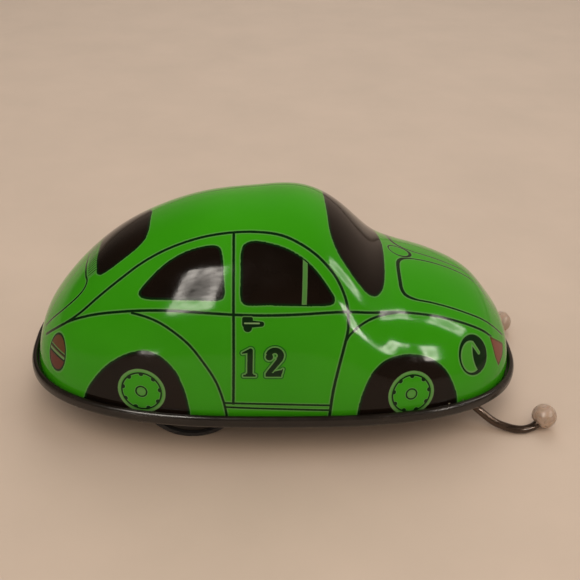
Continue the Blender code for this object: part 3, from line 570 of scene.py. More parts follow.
def oval(g, u, v, cx, cy, rx, ry, tilt=0.0):
    """Close to the distance from an upright oval leaning by tilt degrees."""
    c, s = math.cos(math.radians(tilt)), math.sin(math.radians(tilt))
    du, dv = g.sub(u, cx), g.sub(v, cy)
    a = g.add(g.mul(du, c), g.mul(dv, s))
    b = g.sub(g.mul(dv, c), g.mul(du, s))
    scaled = g.length(g.mul(a, 1 / rx), g.mul(b, 1 / ry))
    return g.mul(g.sub(scaled, 1.0), min(rx, ry))


def bar(g, u, v, x1, y1, x2, y2, r1, r2=None):
    """Distance from a round-ended bar between two points, which may taper."""
    r2 = r1 if r2 is None else r2
    dx, dy = x2 - x1, y2 - y1
    du, dv = g.sub(u, x1), g.sub(v, y1)
    k = g.math("MULTIPLY", g.add(g.mul(du, dx), g.mul(dv, dy)), 1 / (dx * dx + dy * dy), clamp=True)
    d = g.length(g.sub(du, g.mul(k, dx)), g.sub(dv, g.mul(k, dy)))
    return g.sub(d, g.add(g.mul(k, r2 - r1), r1))


def block(g, u, v, x1, y1, x2, y2, r=0.15):
    """Distance from an upright box with corners of radius r."""
    a = g.sub(g.abs(g.sub(u, (x1 + x2) / 2)), (x2 - x1) / 2 - r)
    b = g.sub(g.abs(g.sub(v, (y1 + y2) / 2)), (y2 - y1) / 2 - r)
    out = g.length(g.most(a, 0.0), g.most(b, 0.0))
    return g.sub(g.add(out, g.least(g.most(a, b), 0.0)), r)


def polygon(g, u, v, points, r=0.2):
    """Distance from a convex outline given clockwise, with softened corners."""
    out = None
    for (x1, y1), (x2, y2) in zip(points, points[1:] + points[:1]):
        n = math.hypot(x2 - x1, y2 - y1)
        nx, ny = -(y2 - y1) / n, (x2 - x1) / n
        d = g.sub(g.add(g.mul(u, nx), g.mul(v, ny)), nx * x1 + ny * y1)
        out = d if out is None else g.math("SMOOTH_MAX", out, d, r)
    return out


def stamp(g, under, shape, ink, rim, share):
    """A device in ink with a pale keyline of this width and strength round it."""
    under = g.mix(g.mul(g.cover(g.sub(shape, rim)), share), under, PALE)
    return g.mix(g.cover(shape), under, ink)


def print_vent(g, colour, fill_d):
    """The divider of the door window."""
    u, v, r = g.vector("mark_vent")
    strip = g.most(block(g, g.add(u, g.mul(v, -0.03)), v, -0.50, -7.0, 0.50, 7.0), g.add(fill_d, 0.30))
    strip = g.most(strip, g.sub(r, 8.5))
    colour = g.mix(g.cover(strip), colour, (0.10, 0.235, 0.07))
    colour = g.mix(g.cover(g.add(strip, 0.24)), colour, (0.07, 0.25, 0.045))
    return colour


def print_hub(g, colour, wobble, green):
    """Hub caps."""
    u, v, r = g.vector("mark_hub")
    r = g.add(r, g.mul(wobble, 0.08))
    turn = g.math("FRACT", g.add(g.mul(g.math("ARCTAN2", v, u), 9 / (2 * math.pi)), 9.25))
    knob = g.sub(g.length(g.mul(g.sub(turn, 0.5), 2.83), g.mul(g.sub(r, 4.02), 1.15)), 0.50)
    hub = g.mix(g.cover(g.sub(r, 4.66)), PALE, green)
    ring = g.sub(g.abs(g.sub(r, 4.25)), 0.18)
    boss = g.sub(g.abs(g.sub(r, 1.18)), 0.17)
    rings = g.least(ring, knob, boss)
    hub = g.mix(g.mul(g.cover(g.sub(rings, 0.16)), 0.55), hub, PALE)
    hub = g.mix(g.cover(rings), hub, INK_GREEN)
    hub = g.mix(g.mul(g.cover(g.sub(r, 0.8)), 0.6), hub, PALE)
    colour = g.mix(g.cover(g.sub(r, 5.15)), colour, hub)
    return colour


def print_digits(g, colour, wobble):
    """Race number: keyline, pale gap, solid figures."""
    u, v, r = g.vector("mark_digits")
    u = g.add(u, g.mul(wobble, 0.06))
    one = g.least(block(g, u, v, -3.33, -2.8, -2.20, 3.0, 0.2),
                  bar(g, u, v, -2.68, 2.82, -4.28, 2.25, 0.46, 0.16),
                  block(g, u, v, -4.15, -2.94, -1.55, -2.50, 0.16),
                  block(g, u, v, -3.65, -2.70, -2.00, -2.20, 0.20))
    bow = g.sub(g.abs(g.sub(g.length(g.mul(g.sub(u, 2.28), 0.94), g.sub(v, 1.72)), 1.16)), 0.60)
    bow = g.most(bow, g.sub(g.sub(-0.42, g.sub(v, 1.72)), g.mul(g.sub(u, 2.28), 0.42)))
    two = g.least(bow, disc(g, u, v, 1.16, 1.45, 0.76),
                  bar(g, u, v, 3.36, 0.95, 1.10, -2.05, 0.58, 0.50),
                  block(g, u, v, 0.45, -2.94, 3.70, -2.05, 0.12),
                  bar(g, u, v, 2.60, -2.2, 3.50, -1.85, 0.55, 0.42),
                  bar(g, u, v, 3.45, -2.2, 3.95, -1.25, 0.36, 0.10))
    figure = g.least(one, two)
    limit = g.cover(g.sub(r, 8.0), 0.1)
    colour = g.mix(g.mul(g.cover(g.sub(figure, 0.52)), limit), colour, (0.008, 0.075, 0.008))
    colour = g.mix(g.mul(g.cover(g.sub(figure, 0.34)), limit), colour, (0.05, 0.27, 0.03))
    colour = g.mix(g.mul(g.cover(g.sub(figure, 0.20)), limit), colour, PALE)
    colour = g.mix(g.mul(g.cover(figure), limit), colour, INK_GREEN)
    return colour


def print_handle(g, colour):
    """Door handle."""
    u, v, r = g.vector("mark_handle")
    knob = g.least(bar(g, u, v, -1.1, 0.05, 2.0, 0.05, 0.85, 0.52), disc(g, u, v, -0.80, -0.75, 0.86),
                   block(g, u, v, -1.95, 0.0, 0.25, 1.50, 0.4))
    knob = g.most(knob, g.sub(r, 8.3))
    colour = stamp(g, colour, knob, INK_GREEN, 0.20, 0.6)
    slit = g.most(bar(g, u, v, -1.4, 0.20, 1.5, 0.20, 0.15), g.sub(r, 8.3))
    colour = g.mix(g.cover(slit), colour, (0.20, 0.36, 0.15))
    return colour


def print_eye(g, colour):
    """Head lamp."""
    u, v, r = g.vector("mark_eye")
    eye = g.most(oval(g, u, v, 0.10, 0.10, 4.05, 4.45, 12.0), g.sub(r, 8.3))
    bright = oval(g, u, v, -0.45, -0.30, 2.95, 3.50, 12.0)
    pupil = oval(g, u, v, 2.75, 0.10, 2.85, 4.2, 18.0)
    seen = g.most(bright, g.mul(pupil, -1.0))
    tongue = bar(g, u, v, -0.10, 2.55, 1.60, 0.55, 0.50, 0.42)
    seen = g.least(seen, g.most(tongue, bright))
    face = g.mix(g.cover(seen), INK_GREEN, PALE)
    face = g.mix(g.cover(g.add(seen, 0.30)), face, (0.060, 0.300, 0.025))
    colour = stamp(g, colour, eye, face, 0.3, 0.6)
    return colour


def print_tail(g, colour):
    """Tail lamp: brown-red above, two pale bands, rose below."""
    u, v, r = g.vector("mark_tail")
    lens = g.most(oval(g, u, v, 0.25, 0.0, 3.1, 4.2, -8.0), g.sub(r, 8.3))
    cross = g.add(g.mul(u, 0.50), v)
    red = g.mix(g.cover(g.sub(cross, 0.2)), (0.105, 0.042, 0.014), (0.105, 0.028, 0.018))
    for at, width, tint in ((0.78, 0.22, INK_GREEN), (1.08, 0.15, (0.10, 0.20, 0.06)),
                            (-0.20, 0.60, INK_GREEN), (-0.02, 0.30, (0.13, 0.24, 0.085))):
        red = g.mix(g.cover(g.sub(g.abs(g.sub(cross, at)), width)), red, tint)
    red = g.mix(g.cover(g.mul(g.add(lens, 0.34), -1.0)), red, INK_GREEN)
    colour = stamp(g, colour, lens, red, 0.3, 0.55)
    return colour


def print_cap(g, colour):
    """Filler cap on the middle line."""
    u, v, r = g.vector("mark_cap")
    cap = g.sub(g.abs(oval(g, u, v, 0.0, 0.0, 2.7, 2.1)), g.spread(u, -2.7, 2.7, 0.14, 0.30))
    cap = g.most(cap, g.sub(r, 8.3))
    colour = stamp(g, colour, cap, INK_GREEN, 0.2, 0.5)
    return colour


def print_patch(g, colour):
    """Red shield beside the nose."""
    u, v, r = g.vector("mark_patch")
    shield = polygon(g, u, v, [(-2.9, 2.6), (3.9, 1.7), (3.3, -1.0), (1.15, -3.7), (-0.95, -1.8)], 0.6)
    shield = g.most(shield, g.sub(r, 8.0))
    colour = stamp(g, colour, shield, (0.085, 0.050, 0.008), 0.25, 0.4)
    colour = g.mix(g.cover(g.add(shield, 0.42)), colour, (0.200, 0.060, 0.038))
    return colour


def printed_tin():
    g = Graph("printed_green_tin")
    wobble = g.sub(g.noise(1400, 2.0), 0.5)
    slow = g.noise(45, 2.0)
    fine = g.noise(5200, 2.0)
    green = g.cloudy(slow, (0.031, 0.285, 0.004), (0.038, 0.320, 0.006))
    green = g.mix(g.spread(fine, 0.35, 0.75, 0.0, 0.14), green, (0.057, 0.350, 0.015))
    # drawn lines
    dark = None
    for name, width in WIDTHS.items():
        side, past, near = g.vector("line_" + name)
        if name == "bonnet":                    # drawn heavier at its upright end
            station = g.new("SeparateXYZ", {0: g.coords()})["X"]
            width = g.spread(station, (26.2 + MID_X) * MM, (30.0 + MID_X) * MM, 0.44, 0.20)
        d = g.sub(g.most(g.abs(side), g.sub(near, 0.9), past), width)
        dark = d if dark is None else g.least(dark, d)
    u, v, r = g.vector("mark_louvre")
    rib = g.abs(g.sub(g.math("FRACT", g.add(g.mul(v, 1.20), 0.42)), 0.5))
    rib = g.most(g.sub(g.mul(rib, 0.83), 0.12), g.sub(g.abs(u), 1.25),
                 g.sub(g.abs(v), 8.2), g.sub(r, 8.8))
    dark = g.least(dark, rib)
    fill_d = g.vector("fill")[0]
    ink = g.add(g.least(dark, fill_d), g.mul(wobble, 0.10))
    colour = g.mix(g.mul(g.cover(g.sub(ink, 0.26), 0.10), 0.55), green, PALE)
    glass = g.cloudy(g.noise(60, 3.0), INK, (0.010, 0.006, 0.004))
    shade = g.mix(g.cover(g.add(fill_d, 0.45), 0.25), INK_GREEN, glass)
    colour = g.mix(g.cover(ink, 0.06), colour, shade)
    colour = print_vent(g, colour, fill_d)
    colour = print_hub(g, colour, wobble, green)
    colour = print_digits(g, colour, wobble)
    colour = print_handle(g, colour)
    colour = print_eye(g, colour)
    colour = print_tail(g, colour)
    colour = print_cap(g, colour)
    colour = print_patch(g, colour)
    # tiny scratches dull the varnish
    scratch = g.noise(900, 6.0, 0.7, stretch=(0.25, 1.0, 1.6), distortion=0.6)
    g.set(Base_Color=colour)
    rub = g.spread(scratch, 0.66, 0.80, 0.0, 0.12)
    rough = g.add(g.spread(g.noise(240, 4.0), 0.3, 0.7, 0.07, 0.13), rub)
    g.set(Roughness=rough, Specular_IOR_Level=0.17, Coat_Weight=0.06, Coat_Roughness=0.04, IOR=1.5)
    g.bump(g.add(g.mul(g.noise(90, 2.0), 0.7), g.mul(g.noise(420, 3.0), 0.12)), 0.35, 0.0003)
    return g.mat


def sheet_metal(name, colour, deep, rough, scale=300, metallic=1.0, stretch=(1, 1, 1), bump=0.15, coat=0.0):
    """Plain metal: cloudy colour, brushed or cast grain, worn sheen."""
    g = Graph(name)
    cloud = g.noise(120, 4.0)
    grain = g.noise(scale, 5.0, 0.65, stretch=stretch)
    tint = g.cloudy(cloud, deep, colour)
    tint = g.mix(g.spread(grain, 0.5, 0.8, 0.0, 0.35), tint, tuple(min(c * 1.5, 1.0) for c in colour))
    g.set(Base_Color=tint, Metallic=metallic)
    g.set(Roughness=g.spread(grain, 0.3, 0.7, rough * 0.8, rough * 1.3))
    if coat:
        g.set(Coat_Weight=coat, Coat_Roughness=0.08)
    g.bump(grain, bump, 0.00004)
    return g.mat


def enamel():
    """Black stove enamel on the pan: brown-black, glossy, with pale specks."""
    g = Graph("black_enamel")
    cloud = g.noise(150, 4.0)
    tint = g.cloudy(cloud, (0.0075, 0.0060, 0.0048), (0.016, 0.012, 0.009))
    speck = g.noise(1500, 4.0, 0.7)
    tint = g.mix(g.spread(speck, 0.66, 0.74, 0.0, 0.5), tint, (0.07, 0.055, 0.045))
    g.set(Base_Color=tint, Roughness=g.spread(cloud, 0.3, 0.7, 0.16, 0.30), Specular_IOR_Level=0.35)
    g.set(Coat_Weight=0.15, Coat_Roughness=0.12)
    g.bump(g.noise(380, 3.0), 0.30, 0.00012)
    return g.mat


def rubber():
    g = Graph("black_rubber")
    cloud = g.noise(260, 4.0)
    dust = g.noise(900, 5.0, 0.7)
    tint = g.cloudy(cloud, (0.006, 0.0055, 0.005), (0.014, 0.012, 0.011))
    tint = g.mix(g.spread(dust, 0.58, 0.80, 0.0, 0.5), tint, (0.055, 0.048, 0.040))
    g.set(Base_Color=tint, Roughness=g.spread(dust, 0.3, 0.7, 0.55, 0.8))
    g.bump(dust, 0.4, 0.00006)
    return g.mat


def milky():
    """Milky plastic bead with swirls and a waxy skin."""
    g = Graph("milky_plastic")
    swirl = g.noise(260, 2.0, 0.5, distortion=0.6)
    tint = g.cloudy(swirl, (0.47, 0.36, 0.28), (0.55, 0.43, 0.34))
    g.set(Base_Color=tint, Subsurface_Weight=0.6, Subsurface_Radius=(1.0, 0.7, 0.5))
    g.set(Subsurface_Scale=0.0015, Transmission_Weight=0.25, IOR=1.48)
    g.set(Roughness=g.spread(swirl, 0.3, 0.7, 0.22, 0.36))
    g.bump(g.noise(330, 2.0), 0.25, 0.00015)
    return g.mat


PRINT = printed_tin()
BARE = sheet_metal("bare_tin_inside", (0.50, 0.44, 0.32), (0.36, 0.31, 0.22), 0.34, 500)
ENAMEL = enamel()
RUBBER = rubber()
MILKY = milky()
TIN = sheet_metal("stamped_tin", (0.62, 0.60, 0.56), (0.46, 0.44, 0.41), 0.30, 700, stretch=(0.3, 1, 1))
STEEL = sheet_metal("drawn_steel", (0.56, 0.55, 0.53), (0.40, 0.39, 0.37), 0.28, 900, stretch=(1, 0.15, 1))
BRASS = sheet_metal("cut_brass", (0.78, 0.56, 0.22), (0.58, 0.40, 0.15), 0.28, 800)
ZINC = sheet_metal("cast_zinc", (0.34, 0.34, 0.35), (0.22, 0.22, 0.23), 0.48, 420, bump=0.4)
WIRE = sheet_metal("oiled_wire", (0.090, 0.060, 0.042), (0.050, 0.033, 0.024), 0.30, 900,
                   metallic=0.85, stretch=(0.4, 1, 1), coat=0.3)
PLASTIC = sheet_metal("black_plastic", (0.020, 0.019, 0.018), (0.012, 0.011, 0.010), 0.42, 600, metallic=0.0)

body.data.materials.append(PRINT)
body.data.materials.append(BARE)
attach(body, "chassis")


# ---- lofted and turned pieces -------------------------------------------
def set_material(obj, mat):
    obj.data.materials.clear()
    obj.data.materials.append(mat)
    return obj


def smooth(obj, degrees=35):
    obj.data.shade_smooth()
    obj.data.set_sharp_from_angle(angle=math.radians(degrees))
    return obj


def tidy_normals(obj, weld=0.0):
    """Faces turned outward, after points closer than weld are joined."""
    bm = bmesh.new()
    bm.from_mesh(obj.data)
    if weld:
        bmesh.ops.remove_doubles(bm, verts=bm.verts, dist=weld)
    bmesh.ops.recalc_face_normals(bm, faces=bm.faces)
    bm.to_mesh(obj.data)
    bm.free()
    return obj


def lathe(name, profile, centre, steps=96):
    """Turned about Y: (radius, place along +Y) in mm, a closed section."""
    verts, faces = [], []
    n = len(profile)
    for i in range(steps):
        a = 2 * math.pi * i / steps
        for r, h in profile:
            verts.append((centre[0] + r * math.cos(a), centre[1] + h, centre[2] + r * math.sin(a)))
    for i in range(steps):
        j = (i + 1) % steps
        for k in range(n):
            m = (k + 1) % n
            faces.append((i * n + k, j * n + k, j * n + m, i * n + m))
    mesh = bpy.data.meshes.new(name)
    mesh.from_pydata([(x * MM, y * MM, z * MM) for x, y, z in verts], [], faces)
    return smooth(tidy_normals(link_object(name, mesh), weld=1e-7))


def rounded(points, radius, steps=4):
    """A closed section with its corners rounded."""
    out = []
    n = len(points)
    for i, p in enumerate(points):
        a, b = np.array(points[i - 1], float), np.array(points[(i + 1) % n], float)
        p = np.array(p, float)
        la, lb = np.linalg.norm(a - p), np.linalg.norm(b - p)
        r = min(radius, la * 0.45, lb * 0.45)
        s, e = p + (a - p) / la * r, p + (b - p) / lb * r
        for k in range(steps + 1):
            t = k / steps
            out.append(tuple((1 - t) ** 2 * s + 2 * t * (1 - t) * p + t ** 2 * e))
    return out


def middle_of(node):
    lo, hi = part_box(node)
    return [(lo[i] + hi[i]) / 2 / MM for i in range(3)], [(hi[i] - lo[i]) / MM for i in range(3)]


def cut(obj, tools):
    for tool in tools:
        mod = obj.modifiers.new("cut", "BOOLEAN")
        mod.operation = "DIFFERENCE"
        mod.solver = "EXACT"
        mod.object = tool
    bpy.context.view_layer.update()
    graph = bpy.context.evaluated_depsgraph_get()
    mesh = bpy.data.meshes.new_from_object(obj.evaluated_get(graph))
    obj.modifiers.clear()
    obj.data = mesh
    for tool in tools:
        bpy.data.objects.remove(tool, do_unlink=True)
    return obj


def tool_box(size, centre, turn=0.0):
    bm = bmesh.new()
    bmesh.ops.create_cube(bm, size=1.0)
    bmesh.ops.scale(bm, vec=Vector(size) * MM, verts=bm.verts)
    bmesh.ops.rotate(bm, verts=bm.verts, cent=(0, 0, 0), matrix=Matrix.Rotation(turn, 3, "Z"))
    bmesh.ops.translate(bm, vec=Vector(centre) * MM, verts=bm.verts)
    return object_from("tool", bm)


def tool_rod(radius, centre, depth=6.0):
    bm = bmesh.new()
    bmesh.ops.create_cone(bm, cap_ends=True, segments=24, radius1=radius * MM,
                          radius2=radius * MM, depth=depth * MM)
    bmesh.ops.translate(bm, vec=Vector(centre) * MM, verts=bm.verts)
    return object_from("tool", bm)


# pan with its rolled bead
section_pts = [(RIM_THICK * 0.95, FLOOR_LOW), (RIM_THICK * 0.80, 0.0), (RIM_THICK * 0.30, 0.0),
               (0.0, RIM_HEIGHT * 0.22), (0.0, RIM_HEIGHT * 0.74), (RIM_THICK * 0.30, RIM_HEIGHT),
               (RIM_THICK * 0.82, RIM_HEIGHT), (RIM_THICK, RIM_HEIGHT * 0.88), (RIM_THICK, FLOOR_TOP)]
bead = [(3.5, FLOOR_LOW)] + rounded(section_pts, 0.42, 4)[5:-5] + [(RIM_THICK, FLOOR_TOP), (3.5, FLOOR_TOP)]
PAN_N = 300
pan_verts, pan_faces = [], []
for inset, h in bead:
    ring = outline(HALF_L - inset, HALF_W - inset, PAN_N)
    pan_verts += [(x, y, h) for x, y in ring]
for k in range(len(bead) - 1):
    for i in range(PAN_N):
        j = (i + 1) % PAN_N
        pan_faces.append((k * PAN_N + i, k * PAN_N + j, (k + 1) * PAN_N + j, (k + 1) * PAN_N + i))
pan_faces.append(tuple(range(PAN_N - 1, -1, -1)))
pan_faces.append(tuple(range((len(bead) - 1) * PAN_N, len(bead) * PAN_N)))
pan = tidy_normals(place_mesh("pan_with_bead", pan_verts, pan_faces))

SLOT_GAP = 0.9              # round each tyre where it comes through the pan
RIVET_HOLE = 0.9            # radius
CUT_DEEP = 4.0              # a cutting tool's height, well past the pan's floor
MOTOR_HOLE = (16.0, 18.8)   # under the motor
TAB_SLOT = (4.6, 1.1)       # for each bent tab of the body
axle, _ = middle_of("drive_axle")
floor_z = RIM_Z + FLOOR_LOW
tools = []
for side in ("left", "right"):
    c, size = middle_of("drive_tyre_" + side)
    tools.append(tool_box((size[0] + 2 * SLOT_GAP, size[1] + 2 * SLOT_GAP, CUT_DEEP), (c[0], c[1], floor_z)))
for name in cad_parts:
    if "rivet" not in name:
        continue
    c, _ = middle_of(name)
    tools.append(tool_rod(RIVET_HOLE, (c[0], c[1], floor_z)))
tools.append(tool_box((*MOTOR_HOLE, CUT_DEEP), (axle[0], 0, floor_z)))

tab_x = [-(BODY_L - 16.0), axle[0] - MID_X + 26.0, BODY_L - 16.0]
tabs = []
for x in tab_x:
    for side in (-1, 1):
        y = side * float(half_width(np.array(x)))
        y2 = side * float(half_width(np.array(x + 0.2)))
        turn_z = math.atan2(y2 - y, 0.2)
        inward = Vector((math.sin(turn_z), -math.cos(turn_z), 0)) * side
        at = Vector((x + MID_X, y, 0)) + inward * 0.4
        tools.append(tool_box((*TAB_SLOT, CUT_DEEP),
                              (at.x + inward.x * 0.05, at.y + inward.y * 0.05, floor_z), turn_z))
        tabs.append((at, turn_z, inward))
cut(pan, tools)
smooth(set_material(pan, ENAMEL), 40)
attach(pan, "chassis")
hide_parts("base_plate")

# bent tabs of the body
bm = bmesh.new()
for at, turn_z, inward in tabs:
    profile = rounded([(0.3, RIM_Z + 2.6), (0.3, RIM_Z - 0.2), (-1.9, RIM_Z - 0.2),
                       (-1.9, RIM_Z + 0.2), (-0.3, RIM_Z + 0.2), (-0.3, RIM_Z + 2.6)], 0.25, 3)
    rot = Matrix.Rotation(turn_z, 3, "Z")
    ends = []
    for half in (-2.0, 2.0):
        loop = []
        for out, z in profile:
            p = rot @ Vector((half, 0, 0)) + Vector((at.x, at.y, 0)) - inward * out + Vector((0, 0, z))
            loop.append(bm.verts.new(p * MM))
        ends.append(loop)
    n = len(ends[0])
    for i in range(n):
        j = (i + 1) % n
        bm.faces.new((ends[0][i], ends[0][j], ends[1][j], ends[1][i]))
    bm.faces.new(ends[0])
    bm.faces.new(list(reversed(ends[1])))
bmesh.ops.recalc_face_normals(bm, faces=bm.faces)
tab_obj = object_from("body_tabs", bm)
smooth(set_material(tab_obj, BARE))
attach(tab_obj, "chassis")
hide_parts("body_shell")

# drive wheels and tyres
for side in ("left", "right"):
    c, size = middle_of("drive_tyre_" + side)
    out = 1 if side == "left" else -1
    R = size[0] / 2
    t = size[1] / 2
    seat = R - 1.4 + 0.3
    tread = [(seat, t), (R - 0.5, t), (R - 0.12, t - 0.25)]
    for k in range(5):
        a = t - 0.42 - k * (2 * t - 0.84) / 4
        if k < 4:
            tread += [(R, a + 0.13), (R, a - 0.05), (R - 0.14, a - 0.12), (R - 0.14, a - 0.2)]
        else:
            tread += [(R, a + 0.13), (R, a - 0.1)]
    tread += [(R - 0.12, -t + 0.25), (R - 0.5, -t), (seat, -t)]
    tyre = lathe("tyre_" + side, tread, c, 128)
    set_material(tyre, RUBBER)
    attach(tyre, "drive_assembly")
    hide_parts("drive_tyre_" + side)
    wc, ws = middle_of("drive_wheel_" + side)
    r = ws[0] / 2
    d = 0.8
    sec = [(1.2, d + 0.4), (2.6, d + 0.4), (3.2, d - 0.4), (r - 2.0, d - 0.4), (r - 1.2, d), (r, d), (r, -d),
           (r - 1.2, -d), (r - 2.0, -d + 0.4), (3.2, -d + 0.4), (2.6, -d - 0.4), (1.2, -d - 0.4)]
    wheel = lathe("wheel_disc_" + side, rounded(sec, 0.3, 3), wc, 128)
    set_material(wheel, ENAMEL)
    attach(wheel, "drive_assembly")
    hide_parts("drive_wheel_" + side)

# small front wheels
for side in ("left", "right"):
    c, size = middle_of("front_wheel_" + side)
    R, h = size[0] / 2, size[1] / 2
    sec = [(0.95, h), (2.6, h), (3.0, h - 0.5), (3.4, h), (R - 0.1, h), (R, h - 0.3), (R, -h + 0.3),
           (R - 0.1, -h), (3.4, -h), (3.0, -h + 0.5), (2.6, -h), (0.95, -h)]
    wheel = lathe("front_roller_" + side, rounded(sec, 0.2, 3), c, 96)
    set_material(wheel, PLASTIC)
    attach(wheel, "front_axle_assembly")
    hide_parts("front_wheel_" + side)

# feeler wire on a smooth path, with round sides
WIRE_R = 0.9
pivot_z = floor_z - GAP - WIRE_R - 0.5
wire_lo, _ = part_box("feeler_wire")
pivot_x = wire_lo.x / MM + 0.88
bar_y = 11.5 + 2.0 + 2.2
low_z = 1.0
arm = [(0.0, bar_y, 0.0), (0.6, bar_y + 2.6, -0.6), (3.2, bar_y + 3.6, -3.0), (7.2, bar_y + 5.0, -5.5),
       (11.9, bar_y + 6.1, low_z - pivot_z), (15.6, bar_y + 5.3, low_z - pivot_z + 0.1),
       (18.0, bar_y + 4.1, low_z - pivot_z + 1.9)]


def catmull(points, per):
    pts = [np.array(p, float) for p in points]
    pts = [2 * pts[0] - pts[1]] + pts + [2 * pts[-1] - pts[-2]]
    out = []
    for i in range(1, len(pts) - 2):
        p0, p1, p2, p3 = pts[i - 1:i + 3]
        for k in range(per):
            t = k / per
            out.append(0.5 * (2 * p1 + (p2 - p0) * t + (2 * p0 - 5 * p1 + 4 * p2 - p3) * t ** 2
                              + (3 * p1 - p0 - 3 * p2 + p3) * t ** 3))
    out.append(pts[-2])
    return out


def round_wire(name, path, radius, sides=20):
    path = np.array(path)
    tangent = np.gradient(path, axis=0)
    tangent /= np.linalg.norm(tangent, axis=1)[:, None]
    normal = np.array([0, 0, 1.0])
    bm = bmesh.new()
    rings = []
    for p, t in zip(path, tangent):
        normal = normal - t * normal.dot(t)
        normal /= np.linalg.norm(normal)
        other = np.cross(t, normal)
        ring = []
        for k in range(sides):
            a = 2 * math.pi * k / sides
            q = p + radius * (math.cos(a) * normal + math.sin(a) * other)
            ring.append(bm.verts.new(Vector(q) * MM))
        rings.append(ring)
    for r0, r1 in zip(rings[:-1], rings[1:]):
        for k in range(sides):
            j = (k + 1) % sides
            bm.faces.new((r0[k], r0[j], r1[j], r1[k]))
    bm.faces.new(list(reversed(rings[0])))
    bm.faces.new(rings[-1])
    bmesh.ops.recalc_face_normals(bm, faces=bm.faces)
    return smooth(object_from(name, bm))


left = [(x + pivot_x, y, z + pivot_z) for x, y, z in arm]
right = [(x, -y, z) for x, y, z in reversed(left)]
bar_line = [(pivot_x, y, pivot_z) for y in np.linspace(-bar_y, bar_y, 25)[1:-1]]
path = catmull(right, 10) + [np.array(p) for p in bar_line] + catmull(left, 10)
wire = round_wire("feeler_wire_fine", path, WIRE_R)
set_material(wire, WIRE)
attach(wire, "feeler_assembly")
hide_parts("feeler_wire")

# plastic balls: slightly uneven drops over the wire ends
for side, sign in (("left", 1), ("right", -1)):
    c, size = middle_of("feeler_ball_" + side)
    R = size[0] / 2
    tip = np.array([left[-1][0], sign * left[-1][1], left[-1][2]])
    way = tip - np.array([left[-2][0], sign * left[-2][1], left[-2][2]])
    way /= np.linalg.norm(way)
    bm = bmesh.new()
    bmesh.ops.create_icosphere(bm, subdivisions=5, radius=R)
    for vert in bm.verts:
        d = np.array(vert.co) / R
        along = d @ way
        lump = 0.018 * math.sin(3.1 * d[0] + 2.0 * sign) * math.cos(2.7 * d[2]) - 0.02
        neck = 0.10 * max(0.0, -along - 0.80) / 0.2
        vert.co = Vector(d * R * (1 + lump - neck) + np.array(c)) * MM
    ball = object_from("ball_" + side, bm)
    smooth(set_material(ball, MILKY), 80)
    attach(ball, "feeler_assembly")
    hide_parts("feeler_ball_" + side)

# ---- the CAD pieces that stay -------------------------------------------
LOOKS = {"motor_plate": TIN, "axle_gear": TIN, "middle_gear": TIN, "feeler_clip": TIN,
         "front_bracket": ENAMEL,
         "drive_axle": STEEL, "middle_arbor": STEEL, "flywheel_arbor": STEEL, "front_axle": STEEL,
         "plate_pillar": STEEL, "motor_rivet": STEEL, "bracket_rivet": STEEL, "clip_rivet": STEEL,
         "middle_pinion": BRASS, "flywheel_pinion": BRASS, "flywheel": ZINC}
for name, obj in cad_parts.items():
    if obj.hide_render:
        continue
    for key in sorted(LOOKS, key=len, reverse=True):
        if name.startswith(key):
            if obj.material_slots:
                for s in obj.material_slots:
                    s.material = LOOKS[key]
            else:
                obj.data.materials.append(LOOKS[key])
            break

# ---- floor, light, camera -----------------------------------------------
bm = bmesh.new()
bmesh.ops.create_grid(bm, x_segments=1, y_segments=1, size=3.0)
floor = object_from("floor", bm)
g = Graph("pale_table")
cloth = g.noise(30, 4.0)
g.set(Base_Color=g.cloudy(cloth, (0.56, 0.46, 0.37), (0.60, 0.49, 0.395)), Roughness=0.7)
set_material(floor, g.mat)

world = bpy.data.worlds.new("room")
bpy.context.scene.world = world
world.use_nodes = True
sky = world.node_tree
place = new_node(sky, "TexCoord")["Generated"]


def glow(way, low, high, dim, lit):
    """Colour by direction: dim away from way, lit toward it."""
    toward = new_node(sky, "VectorMath", {0: place, 1: way}, operation="DOT_PRODUCT")["Value"]
    level = new_node(sky, "MapRange", {"Value": toward, "From Min": low, "From Max": high},
                     interpolation_type="SMOOTHSTEP")[0]
    return new_node(sky, "Mix", {0: level, 6: (*dim, 1), 7: (*lit, 1)}, data_type="RGBA")[2]


# a dim room, a pale wall behind and to the right, and a soft horizon in front
wall = glow((0.60, 0.80, 0.0), 0.10, 1.0, (0.035, 0.028, 0.022), (0.50, 0.38, 0.30))
horizon = glow((0.0, -0.30, -0.954), -0.36, 0.10, (0.0, 0.0, 0.0), (0.18, 0.135, 0.10))
both = new_node(sky, "Mix", {0: 1.0, 6: wall, 7: horizon}, data_type="RGBA", blend_type="ADD")[2]
put(sky, sky.nodes["Background"].inputs[0], both)
sky.nodes["Background"].inputs[1].default_value = 1.0


LAMP_AWAY = 0.8             # metres from the car


